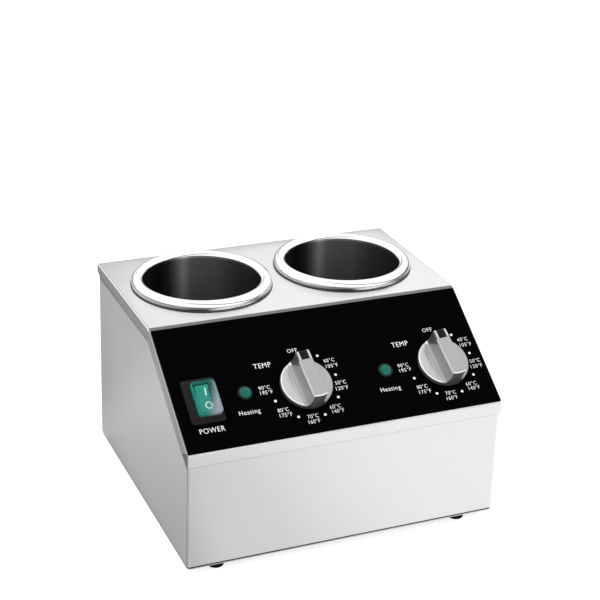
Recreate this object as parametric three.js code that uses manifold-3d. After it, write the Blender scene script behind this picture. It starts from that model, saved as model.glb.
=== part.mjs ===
// Countertop topping warmer with two lift-out pots, two thermostats and a sloped control face.
// Millimetres, +Z up, +X to the right of someone who faces the controls, +Y to the rear.
import * as THREE from 'three';
import { mergeVertices } from 'three/addons/utils/BufferGeometryUtils.js';
import Module from 'manifold-3d';

const wasm = await Module();
wasm.setup();

// Driving sizes: two round wells set the size of the case that is folded round them
const wellRadius = 57;
const wellDepth = 140;
const wellSideRoom = 20.8;
const wellMiddleRoom = 15.2;
const wellFrontRoom = 23;
const wellRearRoom = 21;
const wellFloorRoom = 44;
const frontHeight = 112.5;
const slopeRun = 106;
const footHeight = 8;
const sheet = 1;
const bodyWidth = 2 * (wellSideRoom + 2 * wellRadius + wellMiddleRoom);
const bodyDepth = slopeRun + wellFrontRoom + 2 * wellRadius + wellRearRoom;
const bodyHeight = wellDepth + wellFloorRoom;

// Shared clearances and overruns
const lapGap = 0.2;
const seatGap = 0.3;
const runGap = 0.25;
const overrun = 5;
const weldGap = 0.0001;

// Cover: one folded sheet
const flange = 12;
const sideBend = 1.5;
const lowerBend = 2.2;
const topBend = 3.2;
const rearBend = 2;
const cornerRelief = 2.6;
const mitreAngle = THREE.MathUtils.degToRad(30);
const rearChamferLength = 12;
const rearChamferHeight = 4.5;

// Base shell, rear panel and bottom plate
const frontCorner = 3;
const baseBend = 1.2;
const baseFlange = 16;
const rearFlange = 12;
const plateInset = 0.8;
const ventLength = 34;
const ventWidth = 4;
const ventCorner = 1.8;
const ventPitch = 12;
const ventCount = 5;
const rearVentHeight = 70;
const bottomVentPitch = 18;
const bottomVentCount = 4;

// Control overlay
const overlaySheet = 0.5;
const overlayMargin = 1.6;
const overlayLowerMargin = 1.3;
const overlayUpperMargin = 2.8;
const overlayCorner = 0.8;

// Wells and pots
const wellWall = 0.8;
const wellCorner = 6;
const wellRimWidth = 9.9;
const wellRimHeight = 1;
const potGap = 2.6;
const potWall = 0.8;
const potTaper = 1;
const potFloorGap = 10;
const potCorner = 8;
const potRimInset = 0.7;
const wellPitch = 2 * (wellRadius + wellMiddleRoom);
const wellFromRear = wellRadius + wellRearRoom;
const wellRimRadius = wellRadius + wellRimWidth;
const potRadius = wellRadius - potGap;
const potDrop = wellDepth - potFloorGap;
const rimRadius = wellRimRadius - potRimInset;
const rimTop = 8.8;
const rimCurlAngle = THREE.MathUtils.degToRad(10);
const roundSteps = 32;

// Band heaters
const bandSheet = 2.5;
const bandHeight = 66;
const bandAboveWellFloor = 24;
const bandGap = 13;
const earLength = 13;
const earSheet = 1.6;
const bandBoltRadius = 2;
const bandBoltHead = 3.8;
const bandBoltHeadHeight = 2.6;
const ceramicWidth = 24;
const ceramicDepth = 9;
const ceramicHeight = 16;
const ceramicSide = THREE.MathUtils.degToRad(122);
const studRadius = 1.6;
const studLength = 7;
const studPitch = 13;

// Thermostats and their sensors
const controlPitchShare = 0.45;
const knobFromSide = 42.5;
const knobUp = 48;
const thermostatWidth = 40;
const thermostatLength = 34;
const thermostatDepth = 21;
const thermostatCorner = 2;
const plateWidth = 46;
const plateLength = 26;
const plateThickness = 1.4;
const shaftRadius = 3;
const shaftFlat = 2.2;
const shaftReach = 14;
const shaftSocket = 9;
const shaftHoleRadius = 4.6;
const tabWidth = 6.3;
const tabThickness = 0.8;
const tabLength = 8;
const mountScrewPitch = 28;
const mountScrewRadius = 1.9;
const mountScrewHead = 3.5;
const mountScrewHeadHeight = 1.8;
const mountScrewLength = 6;
const screwTopShare = 0.8;
const bulbRadius = 2.9;
const bulbLength = 74;
const bulbNeck = 5;
const bulbTipShare = 0.6;
const capillaryRadius = 0.9;
const capillaryBow = 16;

// Knobs
const knobBaseRadius = 23.8;
const knobTopRadius = 23;
const knobHeight = 24;
const knobClearance = 0.5;
const discHeight = 6.6;
const gripHalfTop = 6;
const gripHalfFoot = 9;
const scoopCentre = 12.3;
const scoopAcross = 7;
const scoopAlong = 17;
const scoopHigh = 9.5;
const scoopMiddle = 16.5;
const rimBreak = 0.5;
const knobWall = 2.2;
const hubRadius = 5.5;
const hubLift = 0.8;
const gripHollowHalf = 3.4;
const gripHollowLength = 22;
const gripHollowTop = 17;
const insertHalf = 4;
const insertStart = 13.9;
const insertFloor = 14;
const fitGap = 0.12;
const knobRest = THREE.MathUtils.degToRad(4);

// Power switch
const switchFromSide = 26.7;
const switchUp = 48.6;
const bezelWidth = 31;
const bezelLength = 43.5;
const bezelLip = 2;
const bezelCorner = 3;
const bezelRound = 0.7;
const collarWidth = 28;
const collarLength = 40;
const collarHeight = 3;
const collarDraft = 2;
const switchBodyWidth = 25;
const switchBodyLength = 36;
const switchBodyDepth = 22;
const switchBodyCorner = 1.5;
const rockerWidth = 16;
const rockerHalf = 12.5;
const rockerHorn = 6.2;
const rockerValley = 4;
const rockerWaist = 11.4;
const rockerKeel = 7;
const rockerKeelDepth = 5;
const rockerPivot = 1;
const rockerTilt = THREE.MathUtils.degToRad(7);
const rockerWellLength = 28.6;
const rockerWellFloor = 7;
const capWidth = 22;
const capLength = 34;
const capHeight = 5.4;
const capCorner = 3.6;
const capRound = 1.6;
const capWall = 0.8;

// Indicator lamps
const lampPitchShare = 0.42;
const lampUp = 49.8;
const lampRadius = 7;
const lampBezelHeight = 2;
const lampBezelRound = 0.8;
const lensRadius = 5.6;
const lensDome = 2.6;
const lensSeat = 1.4;
const lampBarrelRadius = 5;
const lampBarrelLength = 24;
const lampNutAcross = 8.2;
const lampNutHeight = 3.4;

// Feet and fasteners
const footFromSide = 31;
const footFromEdge = 13.5;
const footTopRadius = 8.4;
const footBaseRadius = 7.4;
const footRound = 1;
const footBore = 2.4;
const footCounterRadius = 4.6;
const footCounterDepth = 4;
const footScrewRadius = 1.9;
const footScrewHead = 3.8;
const footScrewHeadHeight = 2.4;
const footScrewLength = 12;
const rearScrewInset = 6.6;
const rearScrewRadius = 1.6;
const rearScrewHead = 3.4;
const rearScrewHeadHeight = 2;
const rearScrewLength = 8;
const rearScrewUp = 12;
const holeGap = 0.35;

// Mains entry and wiring
const glandFromSide = 46;
const glandUp = 42;
const glandRadius = 8;
const glandBore = 4.2;
const glandFlangeAcross = 11;
const glandFlangeHeight = 4.5;
const glandDomeAcross = 10.2;
const glandDomeHeight = 11;
const glandDomeRound = 3;
const glandThreadLength = 9;
const glandNutHeight = 4;
const blockLength = 36;
const blockWidth = 20;
const blockHeight = 15;
const blockPoles = 3;
const blockBore = 2.2;
const blockScrewDepth = 6;
const blockFromSide = 88;
const blockFromRear = 42;
const earthFromSide = 38;
const earthFromRear = 62;
const earthStudRadius = 2.5;
const earthStudHeight = 16;
const earthNutAcross = 4.6;
const earthNutHeight = 4;
const hexSides = 6;

// Places worked out from the sizes above
const frontY = -bodyDepth / 2;
const rearY = bodyDepth / 2;
const coverOut = sheet + lapGap;
const coverFront = frontY - coverOut;
const coverRear = rearY + coverOut;
const coverHalf = bodyWidth / 2 + coverOut;
const coverTop = footHeight + bodyHeight;
const slopeFoot = footHeight + frontHeight;
const slopeRise = bodyHeight - frontHeight;
const slopeAngle = Math.atan2(slopeRise, slopeRun);
const slopeLength = Math.hypot(slopeRise, slopeRun);
const plateTop = footHeight + sheet;
const wellY = rearY - wellFromRear;
const wellFloor = coverTop - wellDepth;
const controlPitch = bodyWidth * controlPitchShare;
const knobAcross = bodyWidth / 2 - knobFromSide - controlPitch;
const lampFromKnob = controlPitch * lampPitchShare;
const switchAcross = switchFromSide - bodyWidth / 2;
const footAcross = bodyWidth / 2 - footFromSide;
const glandAcross = bodyWidth / 2 - glandFromSide;
const blockAcross = bodyWidth / 2 - blockFromSide;
const earthAcross = bodyWidth / 2 - earthFromSide;
const glandReach = rearY + glandFlangeHeight + glandDomeHeight;
const centreShift = -(glandReach + coverFront) / 2;
const overlayTop = seatGap + overlaySheet;
const knobLift = overlayTop + knobClearance;
const sides = [['left', -1], ['right', 1]];

const steel = { color: 0xcfcdd0, metalness: 0.9, roughness: 0.32 };
const polished = { color: 0xd8d8da, metalness: 1, roughness: 0.08 };
const satin = { color: 0xb0adb0, metalness: 0.6, roughness: 0.4 };
const glossBlack = { color: 0x050406, metalness: 0, roughness: 0.12 };
const blackPlastic = { color: 0x1c1a1c, metalness: 0, roughness: 0.5 };
const rubber = { color: 0x101010, metalness: 0, roughness: 0.85 };
const greenPlastic = { color: 0x0a8a72, metalness: 0, roughness: 0.3 };
const greenLens = { color: 0x2f8f70, metalness: 0, roughness: 0.15 };
const brass = { color: 0xb08d4a, metalness: 1, roughness: 0.35 };
const copper = { color: 0xb06a45, metalness: 1, roughness: 0.35 };
const ceramic = { color: 0xe6e0d2, metalness: 0, roughness: 0.6 };
const mica = { color: 0x9a948a, metalness: 0.4, roughness: 0.55 };
const zinc = { color: 0xa9abad, metalness: 1, roughness: 0.4 };

// Solids and booleans

function toSolid(geometry) {
  const bare = new THREE.BufferGeometry();
  bare.setAttribute('position', geometry.getAttribute('position'));
  if (geometry.index) {
    bare.setIndex(geometry.index);
  }
  const welded = mergeVertices(bare, weldGap);
  const corners = Uint32Array.from(welded.index.array);
  const kept = [];
  for (let i = 0; i < corners.length; i += 3) {
    const [a, b, c] = corners.slice(i, i + 3);
    if (a !== b && b !== c && c !== a) {
      kept.push(a, b, c);
    }
  }
  const mesh = new wasm.Mesh({
    numProp: 3,
    vertProperties: Float32Array.from(welded.getAttribute('position').array),
    triVerts: Uint32Array.from(kept),
  });
  return new wasm.Manifold(mesh);
}

function toGeometry(solid) {
  const mesh = solid.getMesh();
  const geometry = new THREE.BufferGeometry();
  geometry.setAttribute('position', new THREE.BufferAttribute(mesh.vertProperties, 3));
  geometry.setIndex(new THREE.BufferAttribute(mesh.triVerts, 1));
  geometry.computeVertexNormals();
  return geometry;
}

function cut(body, ...tools) {
  return toGeometry(toSolid(body).subtract(wasm.Manifold.union(tools.map(toSolid))));
}

function join(...bodies) {
  return toGeometry(wasm.Manifold.union(bodies.map(toSolid)));
}

function common(a, b) {
  return toGeometry(toSolid(a).intersect(toSolid(b)));
}

// Outlines

function cornerFrame(corners, i) {
  const [x, y, radius = 0] = corners[i];
  const here = new THREE.Vector2(x, y);
  const last = corners.at(i - 1);
  const next = corners[(i + 1) % corners.length];
  const back = new THREE.Vector2(last[0], last[1]).sub(here).normalize();
  const ahead = new THREE.Vector2(next[0], next[1]).sub(here).normalize();
  const half = Math.acos(back.dot(ahead)) / 2;
  const inward = back.clone().add(ahead).normalize();
  return { here, radius, back, ahead, half, inward };
}

// A closed outline whose corners are [x, y, radius], counter-clockwise
function roundedShape(corners) {
  const shape = new THREE.Shape();
  corners.forEach((corner, i) => {
    const { here, radius, back, ahead, half, inward } = cornerFrame(corners, i);
    if (radius === 0) {
      if (i === 0) {
        shape.moveTo(here.x, here.y);
      } else {
        shape.lineTo(here.x, here.y);
      }
      return;
    }
    const centre = here.clone().addScaledVector(inward, radius / Math.sin(half));
    const start = here.clone().addScaledVector(back, radius / Math.tan(half)).sub(centre);
    const end = here.clone().addScaledVector(ahead, radius / Math.tan(half)).sub(centre);
    shape.absarc(centre.x, centre.y, radius, start.angle(), end.angle(), back.cross(ahead) > 0);
  });
  shape.closePath();
  return shape;
}

// The same outline moved inward by a distance, for convex corners
function insetCorners(corners, distance) {
  return corners.map((corner, i) => {
    const { here, radius, half, inward } = cornerFrame(corners, i);
    const moved = here.addScaledVector(inward, distance / Math.sin(half));
    return [moved.x, moved.y, Math.max(radius - distance, 0)];
  });
}

function rectangle(width, height, radius = 0, x = 0, y = 0) {
  return [
    [x - width / 2, y - height / 2, radius],
    [x + width / 2, y - height / 2, radius],
    [x + width / 2, y + height / 2, radius],
    [x - width / 2, y + height / 2, radius],
  ];
}

function hexagon(across) {
  const corners = [];
  for (let i = 0; i < hexSides; i += 1) {
    const turn = (i / hexSides) * 2 * Math.PI;
    corners.push([(across * Math.cos(turn)) / Math.cos(Math.PI / hexSides),
      (across * Math.sin(turn)) / Math.cos(Math.PI / hexSides)]);
  }
  return corners;
}

// Extrusions: up from a plan outline, and across from a side view outline in Y and Z

function slab(corners, bottom, top, detail = 3) {
  const geometry = new THREE.ExtrudeGeometry(roundedShape(corners), {
    depth: top - bottom, bevelEnabled: false, curveSegments: detail,
  });
  return geometry.translate(0, 0, bottom);
}

function softSlab(corners, bottom, top, round, detail = 3, steps = 2) {
  const geometry = new THREE.ExtrudeGeometry(roundedShape(corners), {
    depth: top - bottom - 2 * round,
    bevelThickness: round,
    bevelSize: round,
    bevelOffset: -round,
    bevelSegments: steps,
    curveSegments: detail,
  });
  return geometry.translate(0, 0, bottom + round);
}

const sideView = new THREE.Matrix4().makeBasis(
  new THREE.Vector3(0, 1, 0),
  new THREE.Vector3(0, 0, 1),
  new THREE.Vector3(1, 0, 0),
);

function sidePrism(corners, left, right, detail = 2) {
  return slab(corners, left, right, detail).applyMatrix4(sideView);
}

function disc(radius, bottom, top, steps = 24, x = 0, y = 0, topRadius = radius) {
  const geometry = new THREE.CylinderGeometry(topRadius, radius, top - bottom, steps);
  return geometry.rotateX(Math.PI / 2).translate(x, y, (top + bottom) / 2);
}

// A turned solid whose profile [radius, height] runs from the axis back to the axis
function turned(profile, steps = roundSteps) {
  const points = profile.map(([radius, height]) => new THREE.Vector2(radius, height));
  return new THREE.LatheGeometry(points, steps).rotateX(Math.PI / 2);
}

function arcPoints(x, y, radiusX, radiusY, from, to, steps) {
  const points = [];
  for (let i = 0; i <= steps; i += 1) {
    const turn = from + ((to - from) * i) / steps;
    points.push([x + radiusX * Math.cos(turn), y + radiusY * Math.sin(turn)]);
  }
  return points;
}

// The panel frame: x across, y up the slope, z out of the cover

const panelMatrix = new THREE.Matrix4()
  .makeTranslation(0, coverFront, slopeFoot)
  .multiply(new THREE.Matrix4().makeRotationX(slopeAngle));

const knobPlaces = sides.map(([side], i) => [side, knobAcross + i * controlPitch]);
const lampPlaces = knobPlaces.map(([side, across]) => [side, across - lampFromKnob]);

// Every hole that the controls need, as solids that reach from depth to height
function controlHoles(depth, height) {
  const holes = [slab(
    rectangle(switchBodyWidth + holeGap, switchBodyLength + holeGap, switchBodyCorner, switchAcross, switchUp),
    depth,
    height,
    1,
  )];
  for (const [, across] of knobPlaces) {
    holes.push(disc(shaftHoleRadius, depth, height, 10, across, knobUp));
    for (const side of [-1, 1]) {
      const screwAcross = across + (side * mountScrewPitch) / 2;
      holes.push(disc(mountScrewRadius + holeGap, depth, height, 6, screwAcross, knobUp));
    }
  }
  for (const [, across] of lampPlaces) {
    holes.push(disc(lampBarrelRadius + holeGap, depth, height, 14, across, lampUp));
  }
  return holes;
}

// Cover

function coverProfile() {
  const floor = slopeFoot - 2 * flange;
  return [
    [coverFront, floor],
    [coverRear, floor],
    [coverRear, coverTop, rearBend],
    [coverFront + slopeRun, coverTop, topBend],
    [coverFront, slopeFoot, lowerBend],
  ];
}

function foldedBlock(profile, half, bend) {
  const block = new THREE.ExtrudeGeometry(roundedShape(profile), {
    depth: 2 * (half - bend),
    bevelThickness: bend,
    bevelSize: bend,
    bevelOffset: -bend,
    bevelSegments: 2,
    curveSegments: 1,
  });
  return block.translate(0, 0, bend - half).applyMatrix4(sideView);
}

// What is trimmed off one side wall so that only its flange is left
function sideTrim(side) {
  const along = new THREE.Vector2(slopeRun, slopeRise).normalize();
  const edge = new THREE.Vector2(coverFront, slopeFoot);
  const start = edge.clone().addScaledVector(along, cornerRelief);
  const mitreReach = flange / Math.sin(slopeAngle + mitreAngle);
  const mitre = start.clone().add(
    new THREE.Vector2(Math.cos(mitreAngle), -Math.sin(mitreAngle)).multiplyScalar(mitreReach),
  );
  const bendY = coverFront + slopeRun + flange * Math.tan(slopeAngle / 2);
  const low = coverTop - flange;
  const floor = slopeFoot - 3 * flange;
  const outline = [
    [coverFront - overrun, floor],
    [coverRear + overrun, floor],
    [coverRear + overrun, low + rearChamferHeight],
    [coverRear, low + rearChamferHeight],
    [coverRear - rearChamferLength, low],
    [bendY, low],
    [mitre.x, mitre.y],
    [start.x, start.y],
    [coverFront - overrun, start.y],
  ];
  const inner = coverHalf - sideBend;
  const outer = coverHalf + overrun;
  return side < 0 ? sidePrism(outline, -outer, -inner) : sidePrism(outline, inner, outer);
}

function coverGeometry() {
  const profile = coverProfile();
  const inside = insetCorners(profile, sheet).map(([y, z, r], i) => [y, i < 2 ? z - overrun : z, r]);
  const floor = slopeFoot - 3 * flange;
  const reach = coverHalf + overrun;
  const frontTrim = sidePrism([
    [coverFront - overrun, floor],
    [coverFront + lowerBend + overrun, floor],
    [coverFront + lowerBend + overrun, slopeFoot - flange],
    [coverFront - overrun, slopeFoot - flange],
  ], -reach, reach);
  const rearTrim = sidePrism([
    [coverRear - overrun, floor],
    [coverRear + overrun, floor],
    [coverRear + overrun, coverTop - flange],
    [coverRear - overrun, coverTop - flange],
  ], -reach, reach);
  const tools = [
    foldedBlock(inside, coverHalf - sheet, sideBend - sheet),
    sideTrim(-1),
    sideTrim(1),
    frontTrim,
    rearTrim,
    ...controlHoles(-sheet - overrun, overrun).map((hole) => hole.applyMatrix4(panelMatrix)),
    ...sides.map(([, side]) => disc(
      wellRadius + wellWall + holeGap,
      coverTop - sheet - overrun,
      coverTop + overrun,
      roundSteps,
      (side * wellPitch) / 2,
      wellY,
    )),
    ...rearScrewPlaces().map(([across, up]) => rearHole(across, up)),
  ];
  return cut(foldedBlock(profile, coverHalf, sideBend), ...tools);
}

// Rear screws: the upper pair holds the cover, the lower pair the rear panel

function rearScrewPlaces() {
  const across = bodyWidth / 2 - rearScrewInset;
  return [
    [-across, coverTop - flange / 2],
    [across, coverTop - flange / 2],
    [-across, plateTop + rearScrewUp],
    [across, plateTop + rearScrewUp],
  ];
}

function rearHole(across, up) {
  const hole = disc(rearScrewRadius + holeGap, -overrun - sheet, overrun + sheet, 8);
  return hole.rotateX(-Math.PI / 2).translate(across, rearY, up);
}

// Base shell: front and side walls in one wrap, with turned-in flanges

function baseGeometry() {
  const depth = bodyDepth - sheet;
  const middle = -sheet / 2;
  const outer = softSlab(rectangle(bodyWidth, depth, frontCorner, 0, middle), plateTop,
    coverTop + overrun, baseBend, 2);
  const inner = slab(rectangle(bodyWidth - 2 * sheet, depth - 2 * sheet, frontCorner - sheet, 0, middle),
    plateTop + sheet, coverTop + 2 * overrun, 2);
  const floorCut = slab(rectangle(bodyWidth - 2 * baseFlange, depth - 2 * baseFlange, 0, 0, middle),
    plateTop - overrun, plateTop + overrun);
  const rearCut = sidePrism([
    [rearY - baseFlange, plateTop + baseFlange],
    [rearY + overrun, plateTop + baseFlange],
    [rearY + overrun, coverTop + 2 * overrun],
    [rearY - baseFlange, coverTop + 2 * overrun],
  ], rearFlange - bodyWidth / 2, bodyWidth / 2 - rearFlange);
  const under = sheet + seatGap;
  const drop = under / Math.cos(slopeAngle);
  const rise = slopeRise / slopeRun;
  const topY = coverFront + slopeRun + under * Math.tan(slopeAngle / 2);
  const roof = sidePrism([
    [coverFront - overrun, slopeFoot - drop - overrun * rise],
    [topY, coverTop - under],
    [coverRear + overrun, coverTop - under],
    [coverRear + overrun, coverTop + 3 * overrun],
    [coverFront - overrun, coverTop + 3 * overrun],
  ], -coverHalf - overrun, coverHalf + overrun);
  return cut(outer, inner, floorCut, rearCut, roof, ...footScrewHoles(),
    ...rearScrewPlaces().map(([across, up]) => rearHole(across, up)));
}

// A row of rounded slots along X
function ventRow(count, pitch, y, bottom, top) {
  const slots = [];
  for (let i = 0; i < count; i += 1) {
    const x = (i - (count - 1) / 2) * pitch;
    slots.push(slab(rectangle(ventWidth, ventLength, ventCorner, x, y), bottom, top, 1));
  }
  return slots;
}

function rearPanelGeometry() {
  const width = bodyWidth - 2 * plateInset;
  const height = coverTop - sheet - rearBend - plateTop;
  const panel = slab(rectangle(width, height), 0, sheet);
  const upright = (geometry) => geometry.rotateX(Math.PI / 2)
    .translate(0, rearY, plateTop + height / 2);
  const vents = ventRow(ventCount, ventPitch, rearVentHeight - height / 2, -overrun, sheet + overrun);
  const glandHole = disc(glandRadius + holeGap, -overrun, sheet + overrun, 18, glandAcross,
    glandUp - plateTop - height / 2);
  const plate = upright(cut(panel, glandHole, ...vents));
  return cut(plate, ...rearScrewPlaces().map(([across, up]) => rearHole(across, up)));
}

function footPlaces() {
  const deep = bodyDepth / 2 - footFromEdge;
  return [
    ['front_left', -footAcross, -deep],
    ['front_right', footAcross, -deep],
    ['rear_left', -footAcross, deep],
    ['rear_right', footAcross, deep],
  ];
}

function footScrewHoles() {
  return footPlaces().map(([, x, y]) => disc(footScrewRadius + holeGap, footHeight - overrun,
    plateTop + sheet + overrun, 8, x, y));
}

function bottomPlateGeometry() {
  const plate = slab(rectangle(bodyWidth - 2 * plateInset, bodyDepth - 2 * plateInset, frontCorner),
    footHeight, plateTop);
  const rows = [-1, 1].flatMap((side) => ventRow(bottomVentCount, bottomVentPitch,
    side * ventLength, footHeight - overrun, plateTop + overrun));
  const earthHole = disc(earthStudRadius + holeGap, footHeight - overrun, plateTop + overrun, 10,
    earthAcross, rearY - earthFromRear);
  return cut(plate, earthHole, ...rows, ...footScrewHoles());
}

// Control overlay, in the panel frame

function overlayGeometry() {
  const length = slopeLength - overlayLowerMargin - overlayUpperMargin;
  const film = slab(
    rectangle(2 * (coverHalf - overlayMargin), length, overlayCorner, 0, overlayLowerMargin + length / 2),
    seatGap,
    overlayTop,
    2,
  );
  return cut(film, ...controlHoles(-overrun, overrun));
}

// Wells and pots, in a frame whose origin is on the cover's top, on the well's axis

function wellGeometry() {
  const outside = wellRadius + wellWall;
  const floor = -wellDepth;
  return turned([
    [0, floor],
    ...arcPoints(outside - wellCorner, floor + wellCorner, wellCorner, wellCorner, -Math.PI / 2, 0, 2),
    [outside, 0],
    [wellRimRadius - wellRimHeight / 2, 0],
    [wellRimRadius, wellRimHeight / 2],
    [wellRimRadius - wellRimHeight / 2, wellRimHeight],
    [wellRadius + wellWall, wellRimHeight],
    [wellRadius, wellRimHeight - wellWall],
    ...arcPoints(outside - wellCorner, floor + wellCorner, wellCorner - wellWall, wellCorner - wellWall,
      0, -Math.PI / 2, 2),
    [0, floor + wellWall],
  ]);
}

function potGeometry() {
  const seat = wellRimHeight + seatGap;
  const rimHigh = (rimTop - seat) / (1 + Math.sin(rimCurlAngle));
  const rimLevel = rimTop - rimHigh;
  const rimMiddle = (rimRadius + potRadius) / 2;
  const rimWide = (rimRadius - potRadius) / 2;
  const floor = -potDrop;
  const bend = potRadius - potTaper - potCorner;
  const thin = potWall;
  return turned([
    [0, floor],
    ...arcPoints(bend + thin, floor + potCorner + thin, potCorner, potCorner + thin, -Math.PI / 2, 0, 2),
    [potRadius + thin, rimLevel],
    ...arcPoints(rimMiddle, rimLevel, rimWide - thin, rimHigh - thin, Math.PI, -rimCurlAngle, 4).slice(1),
    ...arcPoints(rimMiddle, rimLevel, rimWide, rimHigh, -rimCurlAngle, Math.PI, 6),
    ...arcPoints(bend, floor + potCorner + thin, potCorner, potCorner, 0, -Math.PI / 2, 2),
    [0, floor + thin],
  ]);
}

function bandGeometry() {
  const inner = wellRadius + wellWall + seatGap;
  const outer = inner + bandSheet;
  const low = bandAboveWellFloor - wellDepth;
  const high = low + bandHeight;
  const ring = cut(disc(outer, low, high, roundSteps), disc(inner, low - overrun, high + overrun, roundSteps));
  const opening = slab(rectangle(bandGap, 2 * outer, 0, 0, -outer), low - overrun, high + overrun);
  const ears = [-1, 1].map((side) => slab(
    rectangle(earSheet, earLength, 0, (side * (bandGap + earSheet)) / 2, -outer - earLength / 2 + bandSheet),
    low,
    high,
  ));
  const boltHole = disc(bandBoltRadius + holeGap, -bandGap, bandGap, 8).rotateY(Math.PI / 2)
    .translate(0, bandBoltY(), (low + high) / 2);
  return cut(join(cut(ring, opening), ...ears), boltHole);
}

function bandBoltY() {
  const outer = wellRadius + wellWall + seatGap + bandSheet;
  return -outer - earLength + bandSheet + bandBoltHead + bandBoltRadius / 2;
}

function bandBoltGeometry() {
  const reach = bandGap / 2 + earSheet + seatGap;
  const shank = disc(bandBoltRadius, -reach - bandBoltHeadHeight / 2, reach + bandBoltHeadHeight / 2, 8);
  const head = disc(bandBoltHead, reach, reach + bandBoltHeadHeight, 12);
  const nut = slab(hexagon(bandBoltHead), -reach - bandBoltHeadHeight, -reach);
  const level = bandAboveWellFloor - wellDepth + bandHeight / 2;
  return join(shank, head, nut).rotateY(Math.PI / 2).translate(0, bandBoltY(), level);
}

function heaterTerminalGeometry() {
  const outer = wellRadius + wellWall + seatGap + bandSheet;
  const level = bandAboveWellFloor - wellDepth + bandHeight / 2;
  const start = outer + seatGap;
  const block = slab(rectangle(ceramicWidth, ceramicHeight), start, start + ceramicDepth);
  const studs = [-1, 1].map((side) => disc(studRadius, start + ceramicDepth / 2,
    start + ceramicDepth + studLength, 8, (side * studPitch) / 2, 0));
  return join(block, ...studs).rotateX(Math.PI / 2).rotateZ(ceramicSide).translate(0, 0, level);
}

// Thermostats, in the panel frame with the origin on the shaft's axis

function shaftOutline(radius, flat) {
  const side = Math.acos(flat / radius);
  return arcPoints(0, 0, radius, radius, side, 2 * Math.PI - side, 8);
}

function thermostatGeometry() {
  const face = -sheet - seatGap;
  const back = face - plateThickness - thermostatDepth;
  const body = slab(rectangle(thermostatWidth, thermostatLength, thermostatCorner), back,
    face - plateThickness / 2, 2);
  const plate = slab(rectangle(plateWidth, plateLength, thermostatCorner), face - plateThickness, face, 1);
  const tabs = [-1, 1].map((side) => slab(
    rectangle(tabThickness, tabWidth, 0, (side * thermostatWidth) / 4, 0),
    back - tabLength,
    back + overrun,
  ));
  const bore = disc(shaftRadius + runGap, -shaftSocket - seatGap, overrun, 12);
  const holes = [-1, 1].map((side) => disc(mountScrewRadius + fitGap, -mountScrewLength - seatGap,
    overrun, 6, (side * mountScrewPitch) / 2, 0));
  return cut(join(body, plate, ...tabs), bore, ...holes);
}

function mountScrewGeometry() {
  const seat = overlayTop + seatGap;
  return join(
    disc(mountScrewRadius, -mountScrewLength, seat + mountScrewHeadHeight / 2, 6),
    disc(mountScrewHead, seat, seat + mountScrewHeadHeight, 10, 0, 0, mountScrewHead * screwTopShare),
  );
}

function shaftGeometry() {
  const round = disc(shaftRadius, -shaftSocket, knobLift + seatGap, 12);
  const flatted = slab(shaftOutline(shaftRadius, shaftFlat), 0, shaftReach);
  return join(round, flatted);
}

// Sensor: a bulb beside the well and the thin tube that leads to its thermostat

function sensorGeometry(wellX, knobX) {
  const bulbX = wellX;
  const bulbY = wellY - wellRadius - wellWall - seatGap - bulbRadius;
  const bulbFoot = wellFloor + bandAboveWellFloor - bulbNeck;
  const bulbHead = bulbFoot + bulbLength;
  const bulb = turned([
    [0, bulbFoot],
    [bulbRadius * bulbTipShare, bulbFoot],
    [bulbRadius, bulbFoot + bulbRadius],
    [bulbRadius, bulbHead - bulbRadius],
    [capillaryRadius, bulbHead],
    [0, bulbHead],
  ], 8).translate(bulbX, bulbY, 0);
  const back = -sheet - seatGap - plateThickness - thermostatDepth;
  const entry = new THREE.Vector3(knobX, knobUp + thermostatLength / 4, back - seatGap);
  const entryOut = new THREE.Vector3(knobX, knobUp + thermostatLength / 4, back - capillaryBow);
  entry.applyMatrix4(panelMatrix);
  entryOut.applyMatrix4(panelMatrix);
  const crown = bulbHead + bulbNeck;
  const path = new THREE.CatmullRomCurve3([
    new THREE.Vector3(bulbX, bulbY, bulbHead - bulbNeck),
    new THREE.Vector3(bulbX, bulbY, crown),
    new THREE.Vector3(bulbX + (knobX - bulbX) / 4, bulbY - capillaryBow, crown + capillaryBow / 2),
    new THREE.Vector3((bulbX + knobX) / 2, (bulbY + entryOut.y) / 2, crown),
    new THREE.Vector3(entryOut.x, entryOut.y, entryOut.z),
    entry,
  ]);
  const tube = new THREE.ExtrudeGeometry(roundedShape(arcPoints(0, 0, capillaryRadius, capillaryRadius,
    0, 2 * Math.PI, 5).slice(1)), { steps: 12, extrudePath: path });
  return join(bulb, tube);
}

// Knob: a drafted disc with a grip bar, finger scoops and a slot for the black insert

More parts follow.
